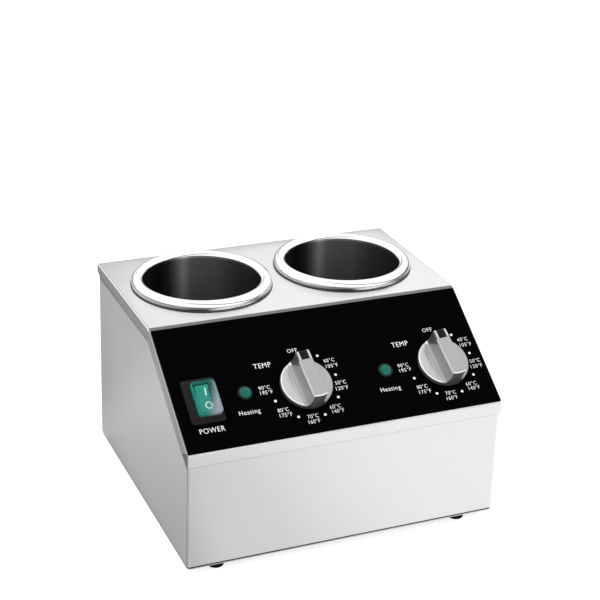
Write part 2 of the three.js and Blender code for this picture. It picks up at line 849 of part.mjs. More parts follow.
function knobGeometry() {
  const blank = turned([
    [0, knobLift],
    [knobBaseRadius, knobLift],
    [knobTopRadius, knobHeight - rimBreak],
    [knobTopRadius - rimBreak, knobHeight],
    [0, knobHeight],
  ], 36);
  const beside = (side) => {
    const over = knobBaseRadius + overrun;
    const flank = [
      [side * over, discHeight],
      [side * over, knobHeight + overrun],
      [side * (gripHalfTop - (gripHalfFoot - gripHalfTop) * (overrun / (knobHeight - discHeight))),
        knobHeight + overrun],
      [side * gripHalfFoot, discHeight],
    ];
    const outline = side > 0 ? flank : flank.reverse();
    return slab(outline, -over, over).rotateX(Math.PI / 2);
  };
  const scoop = (side) => new THREE.SphereGeometry(1, 12, 6)
    .scale(scoopAcross, scoopAlong, scoopHigh)
    .translate(side * scoopCentre, 0, scoopMiddle);
  const slot = slab(rectangle(2 * insertHalf, knobBaseRadius, 0, 0, insertStart + knobBaseRadius / 2),
    insertFloor, knobHeight + overrun);
  const hollow = cut(
    disc(knobBaseRadius - knobWall, knobLift - overrun, discHeight - knobWall, 24),
    disc(hubRadius, knobLift - 2 * overrun, discHeight, 14),
  );
  const gripHollow = cut(
    slab(rectangle(2 * gripHollowHalf, gripHollowLength), knobLift, gripHollowTop),
    disc(hubRadius, -overrun, knobHeight, 14),
  );
  const hubFoot = disc(hubRadius + fitGap, -overrun, knobLift + hubLift, 14);
  const socket = slab(shaftOutline(shaftRadius + fitGap, shaftFlat + fitGap), -overrun, shaftReach + seatGap);
  return cut(blank, beside(-1), beside(1), scoop(-1), scoop(1), slot, hollow, gripHollow, hubFoot, socket);
}

function insertGeometry() {
  const length = knobTopRadius - insertStart - fitGap - rimBreak;
  return softSlab(
    rectangle(2 * (insertHalf - fitGap), length, rimBreak, 0, insertStart + fitGap + length / 2),
    insertFloor + fitGap,
    knobHeight - fitGap,
    rimBreak / 2,
    2,
    1,
  );
}

// Power switch, in the panel frame with the origin at the bezel's centre

function switchHousingGeometry() {
  const seat = overlayTop + seatGap;
  const lip = softSlab(rectangle(bezelWidth, bezelLength, bezelCorner), seat, seat + bezelLip, bezelRound, 2);
  const collar = new THREE.ExtrudeGeometry(
    roundedShape(rectangle(collarWidth, collarLength, bezelCorner)),
    {
      depth: bezelLip / 2,
      bevelThickness: collarHeight,
      bevelSize: collarDraft,
      bevelOffset: -collarDraft,
      bevelSegments: 1,
      curveSegments: 2,
    },
  ).translate(0, 0, seat + bezelLip / 2);
  const body = slab(rectangle(switchBodyWidth, switchBodyLength, switchBodyCorner), -switchBodyDepth,
    seat + bezelLip / 2, 2);
  const tabs = [-1, 0, 1].map((place) => slab(
    rectangle(tabWidth, tabThickness, 0, 0, (place * switchBodyLength) / 3),
    -switchBodyDepth - tabLength,
    -switchBodyDepth + bezelLip,
  ));
  const well = slab(rectangle(rockerWidth + 2 * runGap, rockerWellLength), -rockerWellFloor,
    seat + bezelLip + collarHeight + overrun);
  const collarBelow = slab(rectangle(collarWidth + overrun, collarLength + overrun), -overrun - seat, seat);
  return cut(join(lip, cut(collar, collarBelow), body, ...tabs), well);
}

function rockerGeometry() {
  const outline = [
    [-rockerKeel, -rockerKeelDepth],
    [rockerKeel, -rockerKeelDepth],
    [rockerWaist, 0],
    [rockerHalf, rockerHorn],
    [0, rockerValley],
    [-rockerHalf, rockerHorn],
    [-rockerWaist, 0],
  ];
  return sidePrism(outline, -rockerWidth / 2, rockerWidth / 2);
}

function capGeometry() {
  const seat = overlayTop + 2 * seatGap + bezelLip + collarHeight;
  const shell = softSlab(rectangle(capWidth, capLength, capCorner), seat - capRound, seat + capHeight, capRound, 2);
  const hollow = softSlab(
    rectangle(capWidth - 2 * capWall, capLength - 2 * capWall, capCorner - capWall),
    seat - capRound - overrun,
    seat + capHeight - capWall,
    capRound - capWall / 2,
    2,
    1,
  );
  const below = slab(rectangle(2 * capWidth, 2 * capLength), seat - overrun, seat);
  return cut(shell, hollow, below);
}

// Indicator lamps, in the panel frame with the origin on the lamp's axis

function lampBodyGeometry() {
  const seat = overlayTop + seatGap;
  const face = seat + lampBezelHeight;
  return turned([
    [0, -lampBarrelLength],
    [lampBarrelRadius, -lampBarrelLength],
    [lampBarrelRadius, seat],
    [lampRadius, seat],
    [lampRadius, face - lampBezelRound],
    [lampRadius - lampBezelRound, face],
    [lensRadius + fitGap, face],
    [lensRadius + fitGap, face - lensSeat],
    [0, face - lensSeat],
  ], 14);
}

function lensGeometry() {
  const foot = overlayTop + seatGap + lampBezelHeight - lensSeat + fitGap;
  const shoulder = foot + lensSeat;
  return turned([
    [0, foot],
    [lensRadius, foot],
    ...arcPoints(0, shoulder, lensRadius, lensDome, 0, Math.PI / 2, 3),
  ], 14);
}

function lampNutGeometry() {
  const top = -sheet - seatGap;
  return cut(
    slab(hexagon(lampNutAcross), top - lampNutHeight, top),
    disc(lampBarrelRadius + fitGap, top - lampNutHeight - overrun, top + overrun, 14),
  );
}

// Feet and screws

function footGeometry() {
  return cut(
    turned([
      [0, 0],
      [footBaseRadius - footRound, 0],
      [footBaseRadius, footRound],
      [footTopRadius, footHeight],
      [0, footHeight],
    ], 16),
    disc(footBore, -overrun, footHeight + overrun, 6),
    disc(footCounterRadius, -overrun, footCounterDepth, 12),
  );
}

function footScrewGeometry() {
  const seat = footCounterDepth - seatGap;
  return join(
    disc(footScrewHead * screwTopShare, seat - footScrewHeadHeight, seat, 10, 0, 0, footScrewHead),
    disc(footScrewRadius, seat - footScrewHeadHeight / 2, seat + footScrewLength, 6),
  );
}

function rearScrewGeometry() {
  return join(
    disc(rearScrewHead, 0, rearScrewHeadHeight, 10, 0, 0, rearScrewHead * screwTopShare),
    disc(rearScrewRadius, -rearScrewLength, rearScrewHeadHeight / 2, 6),
  ).rotateX(-Math.PI / 2);
}

// Mains entry and wiring

function glandGeometry() {
  const hexBase = slab(hexagon(glandFlangeAcross), seatGap, glandFlangeHeight);
  const dome = common(
    slab(hexagon(glandDomeAcross), glandFlangeHeight - seatGap, glandFlangeHeight + glandDomeHeight),
    turned([
      [0, 0],
      [glandFlangeAcross, 0],
      [glandFlangeAcross, glandFlangeHeight + glandDomeHeight - glandDomeRound],
      [glandDomeAcross - glandDomeRound, glandFlangeHeight + glandDomeHeight],
      [0, glandFlangeHeight + glandDomeHeight],
    ], 18),
  );
  const thread = disc(glandRadius, -sheet - glandThreadLength, glandFlangeHeight, 18);
  const bore = disc(glandBore, -sheet - glandThreadLength - overrun,
    glandFlangeHeight + glandDomeHeight + overrun, 12);
  return cut(join(hexBase, dome, thread), bore).rotateX(-Math.PI / 2);
}

function glandNutGeometry() {
  const top = -sheet - seatGap;
  return cut(
    slab(hexagon(glandFlangeAcross), top - glandNutHeight, top),
    disc(glandRadius + fitGap, top - glandNutHeight - overrun, top + overrun, 18),
  ).rotateX(-Math.PI / 2);
}

function terminalBlockGeometry() {
  const pitch = blockLength / blockPoles;
  const block = slab(rectangle(blockLength, blockWidth), 0, blockHeight);
  const tools = [];
  for (let i = 0; i < blockPoles; i += 1) {
    const x = (i - (blockPoles - 1) / 2) * pitch;
    tools.push(disc(blockBore, -blockWidth, blockWidth, 6).rotateX(Math.PI / 2).translate(x, 0, blockHeight / 3));
    for (const side of [-1, 1]) {
      tools.push(disc(blockBore, blockHeight - blockScrewDepth, blockHeight + overrun, 6, x,
        (side * blockWidth) / 4));
    }
  }
  return cut(block, ...tools);
}

function earthStudGeometry() {
  return join(
    disc(earthStudRadius, -sheet - earthNutHeight / 2, earthStudHeight, 10),
    slab(hexagon(earthNutAcross), seatGap, earthNutHeight),
    slab(hexagon(earthNutAcross), earthStudHeight / 2, earthStudHeight / 2 + earthNutHeight),
    disc(earthNutAcross, -sheet - seatGap - earthNutHeight / 2, -sheet - seatGap, 12),
  );
}

// Assembly

const warmer = new THREE.Group();
const machine = new THREE.Group();
machine.position.y = centreShift;
warmer.add(machine);

function piece(parent, name, geometry, finish) {
  const mesh = new THREE.Mesh(geometry, new THREE.MeshStandardMaterial(finish));
  mesh.name = name;
  parent.add(mesh);
  return mesh;
}

function place(parent, x, y, z) {
  const group = new THREE.Group();
  group.position.set(x, y, z);
  parent.add(group);
  return group;
}

function addCasing() {
  piece(machine, 'top_cover', coverGeometry(), steel);
  piece(machine, 'base_shell', baseGeometry(), steel);
  piece(machine, 'rear_panel', rearPanelGeometry(), steel);
  piece(machine, 'bottom_plate', bottomPlateGeometry(), zinc);
  rearScrewPlaces().forEach(([x, z], i) => {
    const seat = i < 2 ? coverRear : rearY;
    piece(place(machine, x, seat + seatGap, z), `rear_screw_${i + 1}`, rearScrewGeometry(), zinc);
  });
}

function addFeet() {
  for (const [name, x, y] of footPlaces()) {
    const spot = place(machine, x, y, 0);
    piece(spot, `foot_${name}`, footGeometry(), rubber);
    piece(spot, `foot_screw_${name}`, footScrewGeometry(), zinc);
  }
}

function addWells() {
  for (const [name, side] of sides) {
    const spot = place(machine, (side * wellPitch) / 2, wellY, coverTop);
    piece(spot, `well_${name}`, wellGeometry(), polished);
    piece(spot, `pot_${name}`, potGeometry(), polished);
    piece(spot, `heater_band_${name}`, bandGeometry(), mica);
    piece(spot, `band_bolt_${name}`, bandBoltGeometry(), zinc);
    piece(spot, `heater_terminal_${name}`, heaterTerminalGeometry(), ceramic);
  }
}

function addControls() {
  const panel = place(machine, 0, coverFront, slopeFoot);
  panel.rotation.x = slopeAngle;
  piece(panel, 'control_overlay', overlayGeometry(), glossBlack);
  for (const [name, across] of knobPlaces) {
    const spot = place(panel, across, knobUp, 0);
    piece(spot, `thermostat_${name}`, thermostatGeometry(), zinc);
    [-1, 1].forEach((side, i) => {
      const screw = piece(spot, `thermostat_screw_${name}_${i + 1}`, mountScrewGeometry(), zinc);
      screw.position.x = (side * mountScrewPitch) / 2;
    });
    const turning = place(spot, 0, 0, 0);
    turning.rotation.z = knobRest;
    piece(turning, `knob_shaft_${name}`, shaftGeometry(), zinc);
    piece(turning, `knob_${name}`, knobGeometry(), satin);
    piece(turning, `knob_insert_${name}`, insertGeometry(), blackPlastic);
  }
  for (const [name, across] of lampPlaces) {
    const spot = place(panel, across, lampUp, 0);
    piece(spot, `lamp_body_${name}`, lampBodyGeometry(), blackPlastic);
    piece(spot, `lamp_lens_${name}`, lensGeometry(), greenLens);
    piece(spot, `lamp_nut_${name}`, lampNutGeometry(), blackPlastic);
  }
  const spot = place(panel, switchAcross, switchUp, 0);
  piece(spot, 'switch_housing', switchHousingGeometry(), blackPlastic);
  piece(spot, 'switch_cap', capGeometry(), greenPlastic);
  const rocker = piece(spot, 'switch_rocker', rockerGeometry(), greenPlastic);
  rocker.position.z = rockerPivot;
  rocker.rotation.x = rockerTilt;
}

function addSensors() {
  knobPlaces.forEach(([name, across], i) => {
    const wellX = (sides[i][1] * wellPitch) / 2;
    piece(machine, `sensor_${name}`, sensorGeometry(wellX, across), copper);
  });
}

function addWiring() {
  const entry = place(machine, glandAcross, rearY, glandUp);
  piece(entry, 'cable_gland', glandGeometry(), blackPlastic);
  piece(entry, 'gland_locknut', glandNutGeometry(), blackPlastic);
  const blockSpot = place(machine, blockAcross, rearY - blockFromRear, plateTop + seatGap);
  piece(blockSpot, 'terminal_block', terminalBlockGeometry(), ceramic);
  const earthSpot = place(machine, earthAcross, rearY - earthFromRear, plateTop);
  piece(earthSpot, 'earth_stud', earthStudGeometry(), brass);
}

addCasing();
addFeet();
addWells();
addControls();
addSensors();
addWiring();

export default warmer;
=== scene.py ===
import math
import bmesh
import bpy
from mathutils import Matrix, Vector


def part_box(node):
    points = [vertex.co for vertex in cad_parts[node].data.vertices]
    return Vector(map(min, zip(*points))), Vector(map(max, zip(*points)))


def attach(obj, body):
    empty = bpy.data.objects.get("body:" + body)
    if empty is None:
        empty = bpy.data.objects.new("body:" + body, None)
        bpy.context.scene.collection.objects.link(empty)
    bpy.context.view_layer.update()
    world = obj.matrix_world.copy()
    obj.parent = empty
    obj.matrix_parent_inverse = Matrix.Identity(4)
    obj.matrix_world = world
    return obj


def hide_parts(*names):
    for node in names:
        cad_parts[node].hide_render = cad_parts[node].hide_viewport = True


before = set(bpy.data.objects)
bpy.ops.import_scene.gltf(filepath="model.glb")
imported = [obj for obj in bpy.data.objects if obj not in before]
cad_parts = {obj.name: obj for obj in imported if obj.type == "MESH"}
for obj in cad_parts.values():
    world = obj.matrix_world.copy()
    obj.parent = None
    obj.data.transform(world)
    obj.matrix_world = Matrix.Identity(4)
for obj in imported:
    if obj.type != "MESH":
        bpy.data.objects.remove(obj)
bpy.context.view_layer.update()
print("packed model loaded:", len(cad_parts), "nodes")

# Pieces are modelled in millimetres in their own frame, then settled in metres where they belong
mm = 0.001
sides = (("left", 0), ("right", 1))

body = {"half": 150, "front": -139.15, "rear": 124.85, "floor": 8, "top": 192, "sheet": 1}
panel = {"foot": (0, -140.35, 120.5), "run": 106, "rise": 71.5, "film": 0.8}
panel["tilt"] = math.atan2(panel["rise"], panel["run"])
dial = {"across": (-27.5, 107.5), "up": 48, "rest": math.radians(4)}
well = {"across": (-72.2, 72.2), "back": 46.85}
lamp = {"across": (-84.2, 50.8), "up": 49.8}
shot = {"turn": math.radians(-22.43), "climb": math.radians(21.65), "roll": math.radians(1.49), "lens": 94.77,
        "shift": (0.05, -0.10), "away": 1.4197, "target": (-0.03104, -0.01915, 0.25556)}


# Where things go

def worldSpot():
    return Matrix.Scale(mm, 4)


def panelSpot(across, up, turn=0):
    place = Matrix.Translation(Vector(panel["foot"]) * mm) @ Matrix.Rotation(panel["tilt"], 4, "X")
    return place @ Matrix.Scale(mm, 4) @ Matrix.Translation((across, up, 0)) @ Matrix.Rotation(turn, 4, "Z")


def wellSpot(number):
    return Matrix.Scale(mm, 4) @ Matrix.Translation((well["across"][number], well["back"], body["top"]))


# Small habits of the hand

def deselectAll():
    if bpy.context.object and bpy.context.object.mode != "OBJECT":
        bpy.ops.object.mode_set(mode="OBJECT")
    bpy.ops.object.select_all(action="DESELECT")


def takeUp(piece):
    deselectAll()
    bpy.context.view_layer.objects.active = piece
    piece.select_set(True)


def openMesh(piece):
    takeUp(piece)
    bpy.ops.object.mode_set(mode="EDIT")
    bpy.ops.mesh.select_mode(type="VERT")
    bpy.ops.mesh.select_all(action="SELECT")


def closeMesh():
    bpy.ops.object.mode_set(mode="OBJECT")


def pick(kind, test):
    bpy.ops.mesh.select_mode(type=kind)
    bpy.ops.mesh.select_all(action="DESELECT")
    mesh = bmesh.from_edit_mesh(bpy.context.object.data)
    for part in {"VERT": mesh.verts, "EDGE": mesh.edges, "FACE": mesh.faces}[kind]:
        if test(part):
            part.select_set(True)
    mesh.select_flush_mode()
    bmesh.update_edit_mesh(bpy.context.object.data)


def middle(edge):
    return (edge.verts[0].co + edge.verts[1].co) / 2


def along(edge, axis):
    way = (edge.verts[1].co - edge.verts[0].co).normalized()
    return abs(way[axis]) > 0.99


def addBlock(name, low, high):
    deselectAll()
    centre = [(a + b) / 2 for a, b in zip(low, high)]
    span = [b - a for a, b in zip(low, high)]
    bpy.ops.mesh.primitive_cube_add(size=1, location=centre, scale=span)
    bpy.context.object.name = name
    bpy.ops.object.transform_apply(location=True, rotation=True, scale=True)
    return bpy.context.object


def addRound(name, radius, low, high, steps, place=(0, 0)):
    deselectAll()
    bpy.ops.mesh.primitive_cylinder_add(vertices=steps, radius=radius, depth=high - low,
                                        location=(*place, (low + high) / 2))
    bpy.context.object.name = name
    bpy.ops.object.transform_apply(location=True, rotation=True, scale=True)
    return bpy.context.object


def turnProfile(name, profile, steps):
    deselectAll()
    bpy.ops.mesh.primitive_plane_add(size=1)
    piece = bpy.context.object
    piece.name = name
    openMesh(piece)
    bpy.ops.mesh.merge(type="CENTER")
    bpy.ops.transform.translate(value=(profile[0][0], 0, profile[0][1]))
    for last, here in zip(profile, profile[1:]):
        step = (here[0] - last[0], 0, here[1] - last[1])
        bpy.ops.mesh.extrude_region_move(TRANSFORM_OT_translate={"value": step})
    bpy.ops.mesh.select_all(action="SELECT")
    bpy.ops.mesh.spin(steps=steps, angle=2 * math.pi, center=(0, 0, 0), axis=(0, 0, 1))
    bpy.ops.mesh.select_all(action="SELECT")
    bpy.ops.mesh.remove_doubles(threshold=0.001)
    bpy.ops.mesh.normals_make_consistent(inside=False)
    closeMesh()
    return piece


def arc(centre, radius, start, end, steps, tall=None):
    tall = radius if tall is None else tall
    points = []
    for i in range(steps + 1):
        turn = math.radians(start + (end - start) * i / steps)
        points.append((centre[0] + radius * math.cos(turn), centre[1] + tall * math.sin(turn)))
    return points


def finishWith(piece, kind, **settings):
    takeUp(piece)
    step = piece.modifiers.new(kind.lower(), kind)
    for setting, value in settings.items():
        setattr(step, setting, value)
    bpy.ops.object.modifier_apply(modifier=step.name)


def cutAway(piece, *tools):
    for tool in tools:
        finishWith(piece, "BOOLEAN", operation="DIFFERENCE", solver="EXACT", object=tool)
        bpy.data.objects.remove(tool)


def fuse(piece, *parts):
    for part in parts:
        finishWith(piece, "BOOLEAN", operation="UNION", solver="EXACT", object=part)
        bpy.data.objects.remove(part)


def softenEdges(piece, width, segments, sharper):
    finishWith(piece, "BEVEL", width=width, segments=segments, limit_method="ANGLE",
               angle_limit=math.radians(sharper), harden_normals=False)


def makeWall(piece, thickness):
    finishWith(piece, "SOLIDIFY", thickness=thickness, offset=-1, use_even_offset=True)


def bevelPicked(width, segments):
    bpy.ops.mesh.bevel(offset=width, offset_type="OFFSET", segments=segments, profile=0.5, affect="EDGES")


def joinPieces(name, pieces):
    deselectAll()
    for piece in pieces:
        piece.select_set(True)
    bpy.context.view_layer.objects.active = pieces[0]
    bpy.ops.object.join()
    bpy.context.object.name = name
    return bpy.context.object


def copyPiece(piece, name):
    copy = piece.copy()
    copy.data = piece.data.copy()
    copy.name = name
    bpy.context.collection.objects.link(copy)
    return copy


def settle(piece, spot, smooth):
    takeUp(piece)
    piece.data.transform(spot)
    piece.data.update()
    bpy.ops.object.shade_smooth_by_angle(angle=math.radians(smooth))


def handOver(piece, rides, finish, slot, *stoodFor):
    piece.data.materials.clear()
    for material in finish if isinstance(finish, tuple) else (finish,):
        piece.data.materials.append(material)
    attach(piece, rides)
    if stoodFor:
        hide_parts(*stoodFor)


def paintFaces(piece, shades):
    piece.data.polygons.foreach_set("material_index", shades)
    piece.data.update()


def calculate(nodes, links, operation, *values):
    node = nodes.new("ShaderNodeMath")
    node.operation = operation
    for socket, value in zip(node.inputs, values):
        if isinstance(value, (int, float)):
            socket.default_value = value
        else:
            links.new(value, socket)
    return node.outputs["Value"]


def greyRamp(nodes, links, source, low, high, steps):
    spread = nodes.new("ShaderNodeMapRange")
    spread.inputs["From Min"].default_value = low
    spread.inputs["From Max"].default_value = high
    links.new(source, spread.inputs["Value"])
    ramp = nodes.new("ShaderNodeValToRGB")
    points = ramp.color_ramp.elements
    while len(points) < len(steps):
        points.new(0.5)
    for point, (place, grey) in zip(points, steps):
        point.position = (place - low) / (high - low)
        point.color = (grey, grey, grey, 1)
    links.new(spread.outputs["Result"], ramp.inputs["Fac"])
    return ramp.outputs["Color"]


def dotWith(nodes, links, source, way):
    node = nodes.new("ShaderNodeVectorMath")
    node.operation = "DOT_PRODUCT"
    node.inputs[1].default_value = way
    links.new(source, node.inputs[0])
    return node.outputs["Value"]


# Patterns that several finishes share

def newGroup(name, inputs, outputs):
    group = bpy.data.node_groups.new(name, "ShaderNodeTree")
    for title, kind, value in inputs:
        socket = group.interface.new_socket(title, in_out="INPUT", socket_type=kind)
        if value is not None:
            socket.default_value = value
    for title, kind in outputs:
        group.interface.new_socket(title, in_out="OUTPUT", socket_type=kind)
    return group, group.nodes.new("NodeGroupInput"), group.nodes.new("NodeGroupOutput")


def makeSheetGrain():
    group, enter, leave = newGroup(
        "sheetGrain",
        [("Vector", "NodeSocketVector", None), ("Stretch", "NodeSocketVector", (20, 900, 900)),
         ("Cloud Size", "NodeSocketFloat", 14.0)],
        [("Lines", "NodeSocketFloat"), ("Cloud", "NodeSocketFloat")])
    nodes, links = group.nodes, group.links
    stretch = nodes.new("ShaderNodeVectorMath")
    stretch.operation = "MULTIPLY"
    lines = nodes.new("ShaderNodeTexNoise")
    lines.inputs["Scale"].default_value = 1.0
    lines.inputs["Detail"].default_value = 3.0
    cloud = nodes.new("ShaderNodeTexNoise")
    cloud.inputs["Detail"].default_value = 2.0
    links.new(enter.outputs["Vector"], stretch.inputs[0])
    links.new(enter.outputs["Stretch"], stretch.inputs[1])
    links.new(stretch.outputs["Vector"], lines.inputs["Vector"])
    links.new(enter.outputs["Vector"], cloud.inputs["Vector"])
    links.new(enter.outputs["Cloud Size"], cloud.inputs["Scale"])
    links.new(lines.outputs["Fac"], leave.inputs["Lines"])
    links.new(cloud.outputs["Fac"], leave.inputs["Cloud"])
    return group


def makeMouldSkin():
    group, enter, leave = newGroup(
        "mouldSkin",
        [("Vector", "NodeSocketVector", None), ("Grain Size", "NodeSocketFloat", 900.0),
         ("Cloud Size", "NodeSocketFloat", 40.0)],
        [("Grain", "NodeSocketFloat"), ("Cloud", "NodeSocketFloat")])
    nodes, links = group.nodes, group.links
    grain = nodes.new("ShaderNodeTexNoise")
    grain.inputs["Detail"].default_value = 2.0
    cloud = nodes.new("ShaderNodeTexNoise")
    cloud.inputs["Detail"].default_value = 3.0
    links.new(enter.outputs["Vector"], grain.inputs["Vector"])
    links.new(enter.outputs["Grain Size"], grain.inputs["Scale"])
    links.new(enter.outputs["Vector"], cloud.inputs["Vector"])
    links.new(enter.outputs["Cloud Size"], cloud.inputs["Scale"])
    links.new(grain.outputs["Fac"], leave.inputs["Grain"])
    links.new(cloud.outputs["Fac"], leave.inputs["Cloud"])
    return group


def makeWellPlace():    # a spot's own place from the middle of the nearest well
    group, enter, leave = newGroup("wellPlace", [("Vector", "NodeSocketVector", None)],
                                   [("Across", "NodeSocketFloat"), ("Back", "NodeSocketFloat")])
    nodes, links = group.nodes, group.links
    split = nodes.new("ShaderNodeSeparateXYZ")
    links.new(enter.outputs["Vector"], split.inputs["Vector"])
    pitch = (well["across"][1] - well["across"][0]) * mm
    nearest = calculate(nodes, links, "WRAP", split.outputs["X"], pitch, 0.0)
    links.new(calculate(nodes, links, "SUBTRACT", nearest, pitch / 2), leave.inputs["Across"])
    links.new(calculate(nodes, links, "SUBTRACT", split.outputs["Y"], well["back"] * mm), leave.inputs["Back"])
    return group


sheetGrain = makeSheetGrain()
mouldSkin = makeMouldSkin()
wellPlace = makeWellPlace()


def newFinish(name, metallic, **plain):
    material = bpy.data.materials.new(name)
    material.use_nodes = True
    nodes = material.node_tree.nodes
    shader = nodes["Principled BSDF"]
    shader.inputs["Metallic"].default_value = metallic
    for socket, value in plain.items():
        shader.inputs[socket.replace("_", " ")].default_value = value
    return material, nodes, material.node_tree.links, shader


def between(nodes, links, source, low, high):    # noise mostly stays between 0.3 and 0.7
    spread = nodes.new("ShaderNodeMapRange")
    spread.inputs["From Min"].default_value = 0.3
    spread.inputs["From Max"].default_value = 0.7
    spread.inputs["To Min"].default_value = low
    spread.inputs["To Max"].default_value = high
    links.new(source, spread.inputs["Value"])
    return spread.outputs["Result"]


def tint(nodes, links, source, low, high):
    ramp = nodes.new("ShaderNodeMix")
    ramp.data_type = "RGBA"
    ramp.inputs["A"].default_value = (*low, 1)
    ramp.inputs["B"].default_value = (*high, 1)
    links.new(source, ramp.inputs["Factor"])
    return ramp.outputs["Result"]


def roughen(nodes, links, source, shader, strength, depth):
    bump = nodes.new("ShaderNodeBump")
    bump.inputs["Strength"].default_value = strength
    bump.inputs["Distance"].default_value = depth
    links.new(source, bump.inputs["Height"])
    links.new(bump.outputs["Normal"], shader.inputs["Normal"])


def useGroup(nodes, links, group, place, **values):
    piece = nodes.new("ShaderNodeGroup")
    piece.node_tree = group
    for socket, value in values.items():
        piece.inputs[socket.replace("_", " ")].default_value = value
    links.new(place, piece.inputs["Vector"])
    return piece


# Painted reflection: what the rims and pots mirror of a sheet is made darker by its own place across the nearest
# well
def dimInMirrors(nodes, links, place, colour, steps):
    path = nodes.new("ShaderNodeLightPath")
    spot = useGroup(nodes, links, wellPlace, place)
    share = greyRamp(nodes, links, spot.outputs["Across"], -0.075, 0.075, steps)
    weight = calculate(nodes, links, "MULTIPLY_ADD", path.outputs["Is Glossy Ray"],
                       calculate(nodes, links, "SUBTRACT", share, 1.0), 1.0)
    scale = nodes.new("ShaderNodeVectorMath")
    scale.operation = "SCALE"
    links.new(colour, scale.inputs[0])
    links.new(weight, scale.inputs["Scale"])
    return scale.outputs["Vector"]


def sheetFinish(name, dark, light, rough, stretch, metallic=1.0, cloudSize=14.0, strength=0.15, depth=0.00002,
                mirrored=None):
    material, nodes, links, shader = newFinish(name, metallic)
    place = nodes.new("ShaderNodeTexCoord")
    grain = useGroup(nodes, links, sheetGrain, place.outputs["Object"], Stretch=stretch, Cloud_Size=cloudSize)
    colour = tint(nodes, links, grain.outputs["Lines"], dark, light)
    if mirrored:
        colour = dimInMirrors(nodes, links, place.outputs["Object"], colour, mirrored)
    links.new(colour, shader.inputs["Base Color"])
    links.new(between(nodes, links, grain.outputs["Cloud"], *rough), shader.inputs["Roughness"])
    roughen(nodes, links, grain.outputs["Lines"], shader, strength, depth)
    return material


def mouldFinish(name, dark, light, rough, grainSize, strength=0.2, depth=0.00003, **plain):
    material, nodes, links, shader = newFinish(name, 0.0, **plain)
    place = nodes.new("ShaderNodeTexCoord")
    skin = useGroup(nodes, links, mouldSkin, place.outputs["Object"], Grain_Size=grainSize)
    links.new(tint(nodes, links, skin.outputs["Cloud"], dark, light), shader.inputs["Base Color"])
    links.new(between(nodes, links, skin.outputs["Cloud"], *rough), shader.inputs["Roughness"])
    roughen(nodes, links, skin.outputs["Grain"], shader, strength, depth)
    return material


wrapSteel = sheetFinish("wrapSteel", (0.8, 0.776, 0.8), (0.85, 0.824, 0.85), (0.3, 0.36), (16, 16, 1100))
coverSteel = sheetFinish("coverSteel", (0.79, 0.766, 0.79), (0.85, 0.824, 0.85), (0.24, 0.3), (16, 1100, 1100))
# Painted shade: the top plate is a darker copy of the cover steel, and its mirrored steps paint dark reflections
# of it in the rims and pots
plateSteelShaded = sheetFinish("plateSteelShaded", (0.74, 0.72, 0.74), (0.8, 0.777, 0.8), (0.24, 0.3), (16, 1100, 1100),
                         mirrored=((-0.063, 0.5), (-0.054, 0.32), (-0.041, 0.16), (-0.033, 0.03), (-0.03, 0.002),
                                   (-0.018, 0.002), (-0.014, 0.3), (-0.0088, 0.7), (0.0, 1.0), (0.026, 1.0),
                                   (0.033, 0.45), (0.039, 0.04), (0.047, 0.04), (0.054, 0.3), (0.068, 1.0)))
# Painted shade: the side and slope flanges are darker copies of the cover steel
flangeSteelShaded = sheetFinish("flangeSteelShaded", (0.43, 0.42, 0.43), (0.5, 0.485, 0.5), (0.26, 0.32), (16, 1100, 1100))
slopeFlangeShaded = sheetFinish("slopeFlangeShaded", (0.26, 0.253, 0.26), (0.32, 0.312, 0.32), (0.26, 0.32), (16, 1100, 1100))
foldShade = sheetFinish("foldShade", (0.17, 0.165, 0.17), (0.22, 0.215, 0.22), (0.3, 0.36), (16, 700, 700))
foldShine = sheetFinish("foldShine", (0.93, 0.92, 0.93), (0.97, 0.96, 0.97), (0.2, 0.26), (16, 700, 700),
                        strength=0.05)
seamShade = sheetFinish("seamShade", (0.012, 0.0115, 0.012), (0.02, 0.0195, 0.02), (0.3, 0.4), (16, 700, 700))
cornerShade = sheetFinish("cornerShade", (0.2, 0.195, 0.2), (0.26, 0.255, 0.26), (0.3, 0.4), (16, 700, 700))
rimChrome = sheetFinish("rimChrome", (0.95, 0.95, 0.955), (0.98, 0.98, 0.985), (0.03, 0.06), (40, 40, 40),
                        strength=0.02)
potOutside = sheetFinish("potOutside", (0.66, 0.65, 0.66), (0.74, 0.73, 0.74), (0.16, 0.24), (60, 60, 700))
# Painted shade: the well sleeve is dark steel standing for the shadow gap under the pot rims
wellSleeveShadow = sheetFinish("wellSleeveShadow", (0.08, 0.078, 0.08), (0.14, 0.137, 0.14), (0.3, 0.4), (60, 60, 700))
zincPlate = sheetFinish("zincPlate", (0.5, 0.51, 0.52), (0.6, 0.61, 0.62), (0.34, 0.46), (220, 220, 220),
                        cloudSize=60.0)
heatedMica = sheetFinish("heatedMica", (0.36, 0.33, 0.29), (0.48, 0.45, 0.4), (0.4, 0.55), (300, 300, 300),
                         metallic=0.4)
bareCopper = sheetFinish("bareCopper", (0.6, 0.3, 0.18), (0.7, 0.38, 0.25), (0.25, 0.4), (400, 400, 400))
bareBrass = sheetFinish("bareBrass", (0.6, 0.44, 0.2), (0.68, 0.52, 0.26), (0.25, 0.4), (400, 400, 400))
knobSatin = sheetFinish("knobSatin", (0.41, 0.4, 0.41), (0.46, 0.45, 0.46), (0.36, 0.44), (900, 900, 900),
                        metallic=0.8, cloudSize=90.0, strength=0.1)
